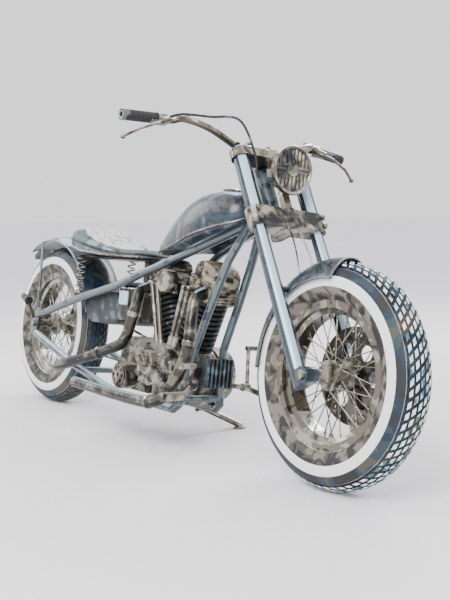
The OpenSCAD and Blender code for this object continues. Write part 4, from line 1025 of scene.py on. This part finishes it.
def belt_line(p, rp, q, rq, spacing):
    """Points spaced evenly along the outline of a belt round two circles in X and Z, and the direction along the
    outline at each."""
    p, q = np.asarray(p, float), np.asarray(q, float)
    gap = q - p
    turn, a = math.atan2(gap[1], gap[0]), math.acos((rp - rq) / float(np.linalg.norm(gap)))
    arc = lambda c, r, t0, t1: c + r * np.stack([np.cos(np.linspace(t0, t1, 400)),
                                                 np.sin(np.linspace(t0, t1, 400))], -1)
    ring = np.vstack([arc(p, rp, turn + a, turn + 2 * np.pi - a), arc(q, rq, turn - a, turn + a)])
    ring = np.vstack([ring, ring[:1]])
    run = np.append(0, np.cumsum(np.linalg.norm(np.diff(ring, axis=0), axis=1)))
    count = max(3, round(run[-1] / spacing))
    at = np.arange(count) * run[-1] / count
    here = np.stack([np.interp(at, run, ring[:, k]) for k in (0, 1)], -1)
    after = np.stack([np.interp((at + 0.001) % run[-1], run, ring[:, k]) for k in (0, 1)], -1)
    along = unit(after - here)
    return here, along


def in_side(points, y):
    """Flat points in X and Z, put at one distance to the left."""
    return np.stack([points[:, 0], np.full(len(points), y), points[:, 1]], -1)


class CHOPPER_OT_engine_trim(bpy.types.Operator):
    """Makes head fins, cover beads, screws and the air cleaner's ridges"""
    bl_idname = "chopper.engine_trim"
    bl_label = "Engine trim"

    def execute(self, context):
        fins = []
        for way in (-1, 1):
            for up in (0.016, 0.028, 0.040, 0.052):
                block = rounded_block((0, 0, DECK_UP + up), (0.074, 0.068, 0.0022), power=0.3,
                                      n=14, m=56)
                fins.append(on_cylinder(block, way))
        settle(build_grids("head_fins", fins), "chassis", "engine_warm")
        screws, faces = [], []
        for way in (-1, 1):
            for x in (-0.052, 0.052):
                for y in (-0.050, 0.050):
                    screws.append(on_cylinder([x, y, DECK_UP + 0.072 + 0.036], way))
                    faces.append((0, -1 if y < 0 else 1, 0))
                for y in (-0.060, 0.060):
                    screws.append(on_cylinder([x, y, DECK_UP + 0.062], way))
                    faces.append((0, -1 if y < 0 else 1, 0))
        settle(repeated("head_bolts", bolt_head(0.0060, 0.007), screws, faces, sharp=25),
               "chassis", "chrome")
        ribs = []
        for way in (-1, 1):
            for z in (0.010, 0.024):
                t = np.linspace(-1, 1, 24)
                for s in (-1, 1):
                    line = np.stack([0.062 * t, 0 * t + s * 0.0505,
                                     0 * t + DECK_UP + 0.0725 + z], -1)
                    ribs.append(tube(on_cylinder(line, way), 0.0026, 8, (0, 1, 0)))
        settle(build_grids("rocker_beads", ribs, sharp=0), "chassis", "engine_warm")
        self.covers()
        return {"FINISHED"}

    def covers(self):
        """Beads and screws round the cam, primary and gearbox covers."""
        rear, front = (0.918, -0.085), (1.030, -0.083)
        cam, _ = belt_line(rear, 0.056, front, 0.048, 0.036)
        primary, _ = belt_line((0.980, -0.095), 0.086, (0.745, -0.085), 0.085, 0.060)
        screw = ball_end(0.0055)
        settle(repeated("cover_screws", screw, in_side(cam, -0.1262), (0, -1, 0)),
               "chassis", "chrome")
        settle(repeated("primary_screws", screw, in_side(primary, 0.1618), (0, 1, 0)),
               "chassis", "chrome")
        beads = []
        for centre, radii, y in (((0.945, -0.062), (0.040, 0.026, 0.012), -0.1482),
                                 ((1.036, -0.093), (0.024, 0.012), -0.1422),
                                 ((0.980, 0.234), (0.036, 0.026, 0.016), -0.1282),
                                 ((0.745, -0.133), (0.047,), -0.1305)):
            a = np.linspace(0, 2 * np.pi, 60, endpoint=False)
            for r in radii:
                ring = np.stack([centre[0] + r * np.cos(a), 0 * a + y, centre[1] + r * np.sin(a)], -1)
                beads.append(tube(ring, 0.0028, 8, (0, 1, 0), loop=True))
        outline, _ = belt_line((0.980, -0.095), 0.093, (0.745, -0.085), 0.092, 0.008)
        beads.append(tube(in_side(outline, 0.1600), 0.0030, 8, (0, 1, 0), loop=True))
        settle(build_grids("cover_beads", beads, wrap_u=True, sharp=0), "chassis",
               "engine_alloy")
        spots = np.array([(0.918, -0.128), (0.905, -0.040)])
        settle(repeated("cam_bolts", bolt_head(0.0050, 0.006), in_side(spots, -0.1480),
                        (0, -1, 0), sharp=25), "chassis", "chrome")
        panel = rounded_block((0.698, -0.1150, 0.155), (0.031, 0.0022, 0.026), power=0.2)
        settle(build_grids("battery_panel", [panel]), "chassis", "signal_panel")


class CHOPPER_OT_chain(bpy.types.Operator):
    """Makes the final chain's links round both sprockets"""
    bl_idname = "chopper.chain"
    bl_label = "Final chain"

    def execute(self, context):
        pitch = context.scene.chopper_sizes.chain_pitch
        here, along = belt_line((0, 0), 0.104, GEARBOX[[0, 2]], 0.046, pitch)
        places = in_side(here, 0.092)
        run = np.stack([along[:, 0], 0 * along[:, 0], along[:, 1]], -1)
        a = np.linspace(0, 2 * np.pi, 14, endpoint=False)
        waist = 0.0058 * (0.72 + 0.28 * np.abs(np.cos(a)) ** 2)
        rings = []
        for y, size in ((-1, 0), (-1, 1), (1, 1), (1, 0)):
            rings.append(np.stack([size * np.sin(a) * waist, 0 * a + y * 0.0007,
                                   size * np.cos(a) * (pitch / 2 + 0.004)], -1))
        plate = np.array(rings)
        for name, shift in (("outer", 0.0032), ("inner", -0.0032)):
            moved = plate + np.array([0, shift, 0])
            settle(repeated(f"chain_{name}_plates", moved, places, run, over=(0, 1, 0)),
                   "chassis", "bare_steel")
        roller = turned([(0, -0.0034), (0.0042, -0.0034), (0.0042, 0.0034), (0, 0.0034)],
                        (0, 0, 0), (0, 0, 1), 10)
        rollers = repeated("chain_rollers", roller, places + run * pitch / 2, (0, 1, 0),
                           wrap_u=True, wrap_v=False)
        settle(rollers, "chassis", "bare_steel", "drive_chain")
        return {"FINISHED"}


class CHOPPER_OT_fasteners(bpy.types.Operator):
    """Makes the bolts of the fork, the trees, the caliper and the frame"""
    bl_idname = "chopper.fasteners"
    bl_label = "Fasteners"

    def execute(self, context):
        places, ways = [], []
        for s in (-1, 1):
            for up in (0.530, 0.562):
                places.append(on_fork([-0.003, s * 0.135, up]))
                ways.append(on_fork([1, 0, 0]) - on_fork([0, 0, 0]))
            places.append(on_fork([-0.036, s * 0.120, 0.822]))
            ways.append(on_fork([0, 0, 1]) - on_fork([0, 0, 0]))
            places.append(CLAMP + [0, s * 0.042, 0.0207])
            ways.append((0, 0, 1))
        places.append(on_fork([STEM_X, 0, 0.798]))
        ways.append(on_fork([0, 0, 1]) - on_fork([0, 0, 0]))
        settle(repeated("fork_bolts", bolt_head(0.0085, 0.008), places, ways, sharp=25),
               "steering", "chrome")
        caliper = [(WHEELBASE + x, 0.0885, z) for x, z in ((0.036, -0.120), (0.088, -0.120),
                                                            (0.036, -0.156), (0.088, -0.156))]
        settle(repeated("caliper_bolts", bolt_head(0.0060, 0.006), caliper, (0, 1, 0), sharp=25),
               "steering", "chrome")
        plates = [(x, s * 0.1330, z) for s in (-1, 1) for x, z in ((0.006, 0.046), (0.002, -0.052))]
        sides = [(0, s, 0) for s in (-1, 1) for _ in (0, 1)]
        settle(repeated("plate_bolts", bolt_head(0.0070, 0.007), plates, sides, sharp=25),
               "chassis", "chrome")
        return {"FINISHED"}


# ---------- stage ----------

def aim(thing, ahead, up=(0, 0, 1)):
    """Turns a camera or light so that it looks along ahead."""
    back = -unit(ahead)
    right = unit(np.cross(up, back))
    over = np.cross(back, right)
    turn = np.stack([right, over, back], 1)
    thing.matrix_world = Matrix.Translation(thing.location) @ Matrix(turn.tolist()).to_4x4()


class CHOPPER_OT_stage(bpy.types.Operator):
    """Makes the pale floor, the soft lights and the camera"""
    bl_idname = "chopper.stage"
    bl_label = "Stage"

    def execute(self, context):
        scene = context.scene
        r = np.array([0.0, 2.0, 6.0, 15.0, 60.0])[:, None]
        a = np.linspace(0, 2 * np.pi, 96, endpoint=False)[None]
        disc = np.stack(np.broadcast_arrays(r * np.cos(a), r * np.sin(a), 0 * r * a), -1)
        mesh = bpy.data.meshes.new("pale_floor")
        mesh.from_pydata(disc.reshape(-1, 3).tolist(), [], grid_faces(5, 96, False, True).tolist())
        floor = bpy.data.objects.new("pale_floor", mesh)
        scene.collection.objects.link(floor)
        paint = bpy.data.materials.new("pale_floor")
        paint.use_nodes = True
        shader = paint.node_tree.nodes["Principled BSDF"]
        shader.inputs["Base Color"].default_value = (0.94, 0.93, 0.96, 1)
        shader.inputs["Roughness"].default_value = 0.9
        mesh.materials.append(paint)
        world = bpy.data.worlds.new("studio")
        world.use_nodes = True
        world.node_tree.nodes["Background"].inputs[0].default_value = (0.93, 0.93, 0.96, 1)
        world.node_tree.nodes["Background"].inputs[1].default_value = 1.5
        scene.world = world
        for name, at, size, power in (("key", (2.6, -3.4, 3.6), 2.6, 210),
                                      ("fill", (-3.4, -2.0, 2.8), 3.0, 90),
                                      ("rim", (-1.0, 3.6, 3.4), 2.4, 120)):
            light = bpy.data.lights.new(name, "AREA")
            light.shape, light.size, light.energy = "DISK", size, power
            lamp = bpy.data.objects.new(name, light)
            lamp.location = at
            scene.collection.objects.link(lamp)
            aim(lamp, np.array([0, 0, 0.5]) - np.array(at))
        view = bpy.data.cameras.new("camera")
        view.sensor_fit, view.sensor_height, view.sensor_width = "VERTICAL", 36.0, 27.0
        view.lens = 57.98
        camera = bpy.data.objects.new("camera", view)
        camera.location = (2.9690, -2.0358, 0.8417)
        scene.collection.objects.link(camera)
        yaw, pitch, roll = (math.radians(q) for q in (143.625, -5.51, -1.051))
        ahead = np.array([math.cos(pitch) * math.cos(yaw), math.cos(pitch) * math.sin(yaw),
                          math.sin(pitch)])
        right = unit(np.cross(ahead, (0, 0, 1)))
        over = np.cross(right, ahead)
        over = -math.sin(roll) * right + math.cos(roll) * over
        aim(camera, ahead, over)
        scene.camera = camera
        return {"FINISHED"}


STEPS = ("finishes", "tyres", "wheel_trim", "tank", "seat", "fender_trim", "exhaust",
         "handlebar", "lines", "headlight", "engine_trim", "chain", "fasteners", "stage")


class CHOPPER_PT_build(bpy.types.Panel):
    """Lists the sizes, the colours and the pieces"""
    bl_idname = "CHOPPER_PT_build"
    bl_label = "Chopper"
    bl_space_type = "VIEW_3D"
    bl_region_type = "UI"
    bl_category = "Chopper"

    def draw(self, context):
        for group in (context.scene.chopper_sizes, context.scene.chopper_colours):
            box = self.layout.box()
            for name in group.__annotations__:
                box.prop(group, name)
        for step in STEPS:
            self.layout.operator(f"chopper.{step}")


CLASSES = (ChopperSizes, ChopperColours, CHOPPER_OT_finishes, CHOPPER_OT_tyres,
           CHOPPER_OT_wheel_trim, CHOPPER_OT_tank, CHOPPER_OT_seat, CHOPPER_OT_fender_trim,
           CHOPPER_OT_exhaust, CHOPPER_OT_handlebar, CHOPPER_OT_lines,
           CHOPPER_OT_headlight, CHOPPER_OT_engine_trim, CHOPPER_OT_chain,
           CHOPPER_OT_fasteners, CHOPPER_OT_stage, CHOPPER_PT_build)


def register():
    for cls in CLASSES:
        bpy.utils.register_class(cls)
    bpy.types.Scene.chopper_sizes = PointerProperty(type=ChopperSizes)
    bpy.types.Scene.chopper_colours = PointerProperty(type=ChopperColours)


def unregister():
    del bpy.types.Scene.chopper_sizes
    del bpy.types.Scene.chopper_colours
    for cls in reversed(CLASSES):
        bpy.utils.unregister_class(cls)


def main():
    register()
    for step in STEPS:
        getattr(bpy.ops.chopper, step)()


if __name__ == "__main__":
    main()
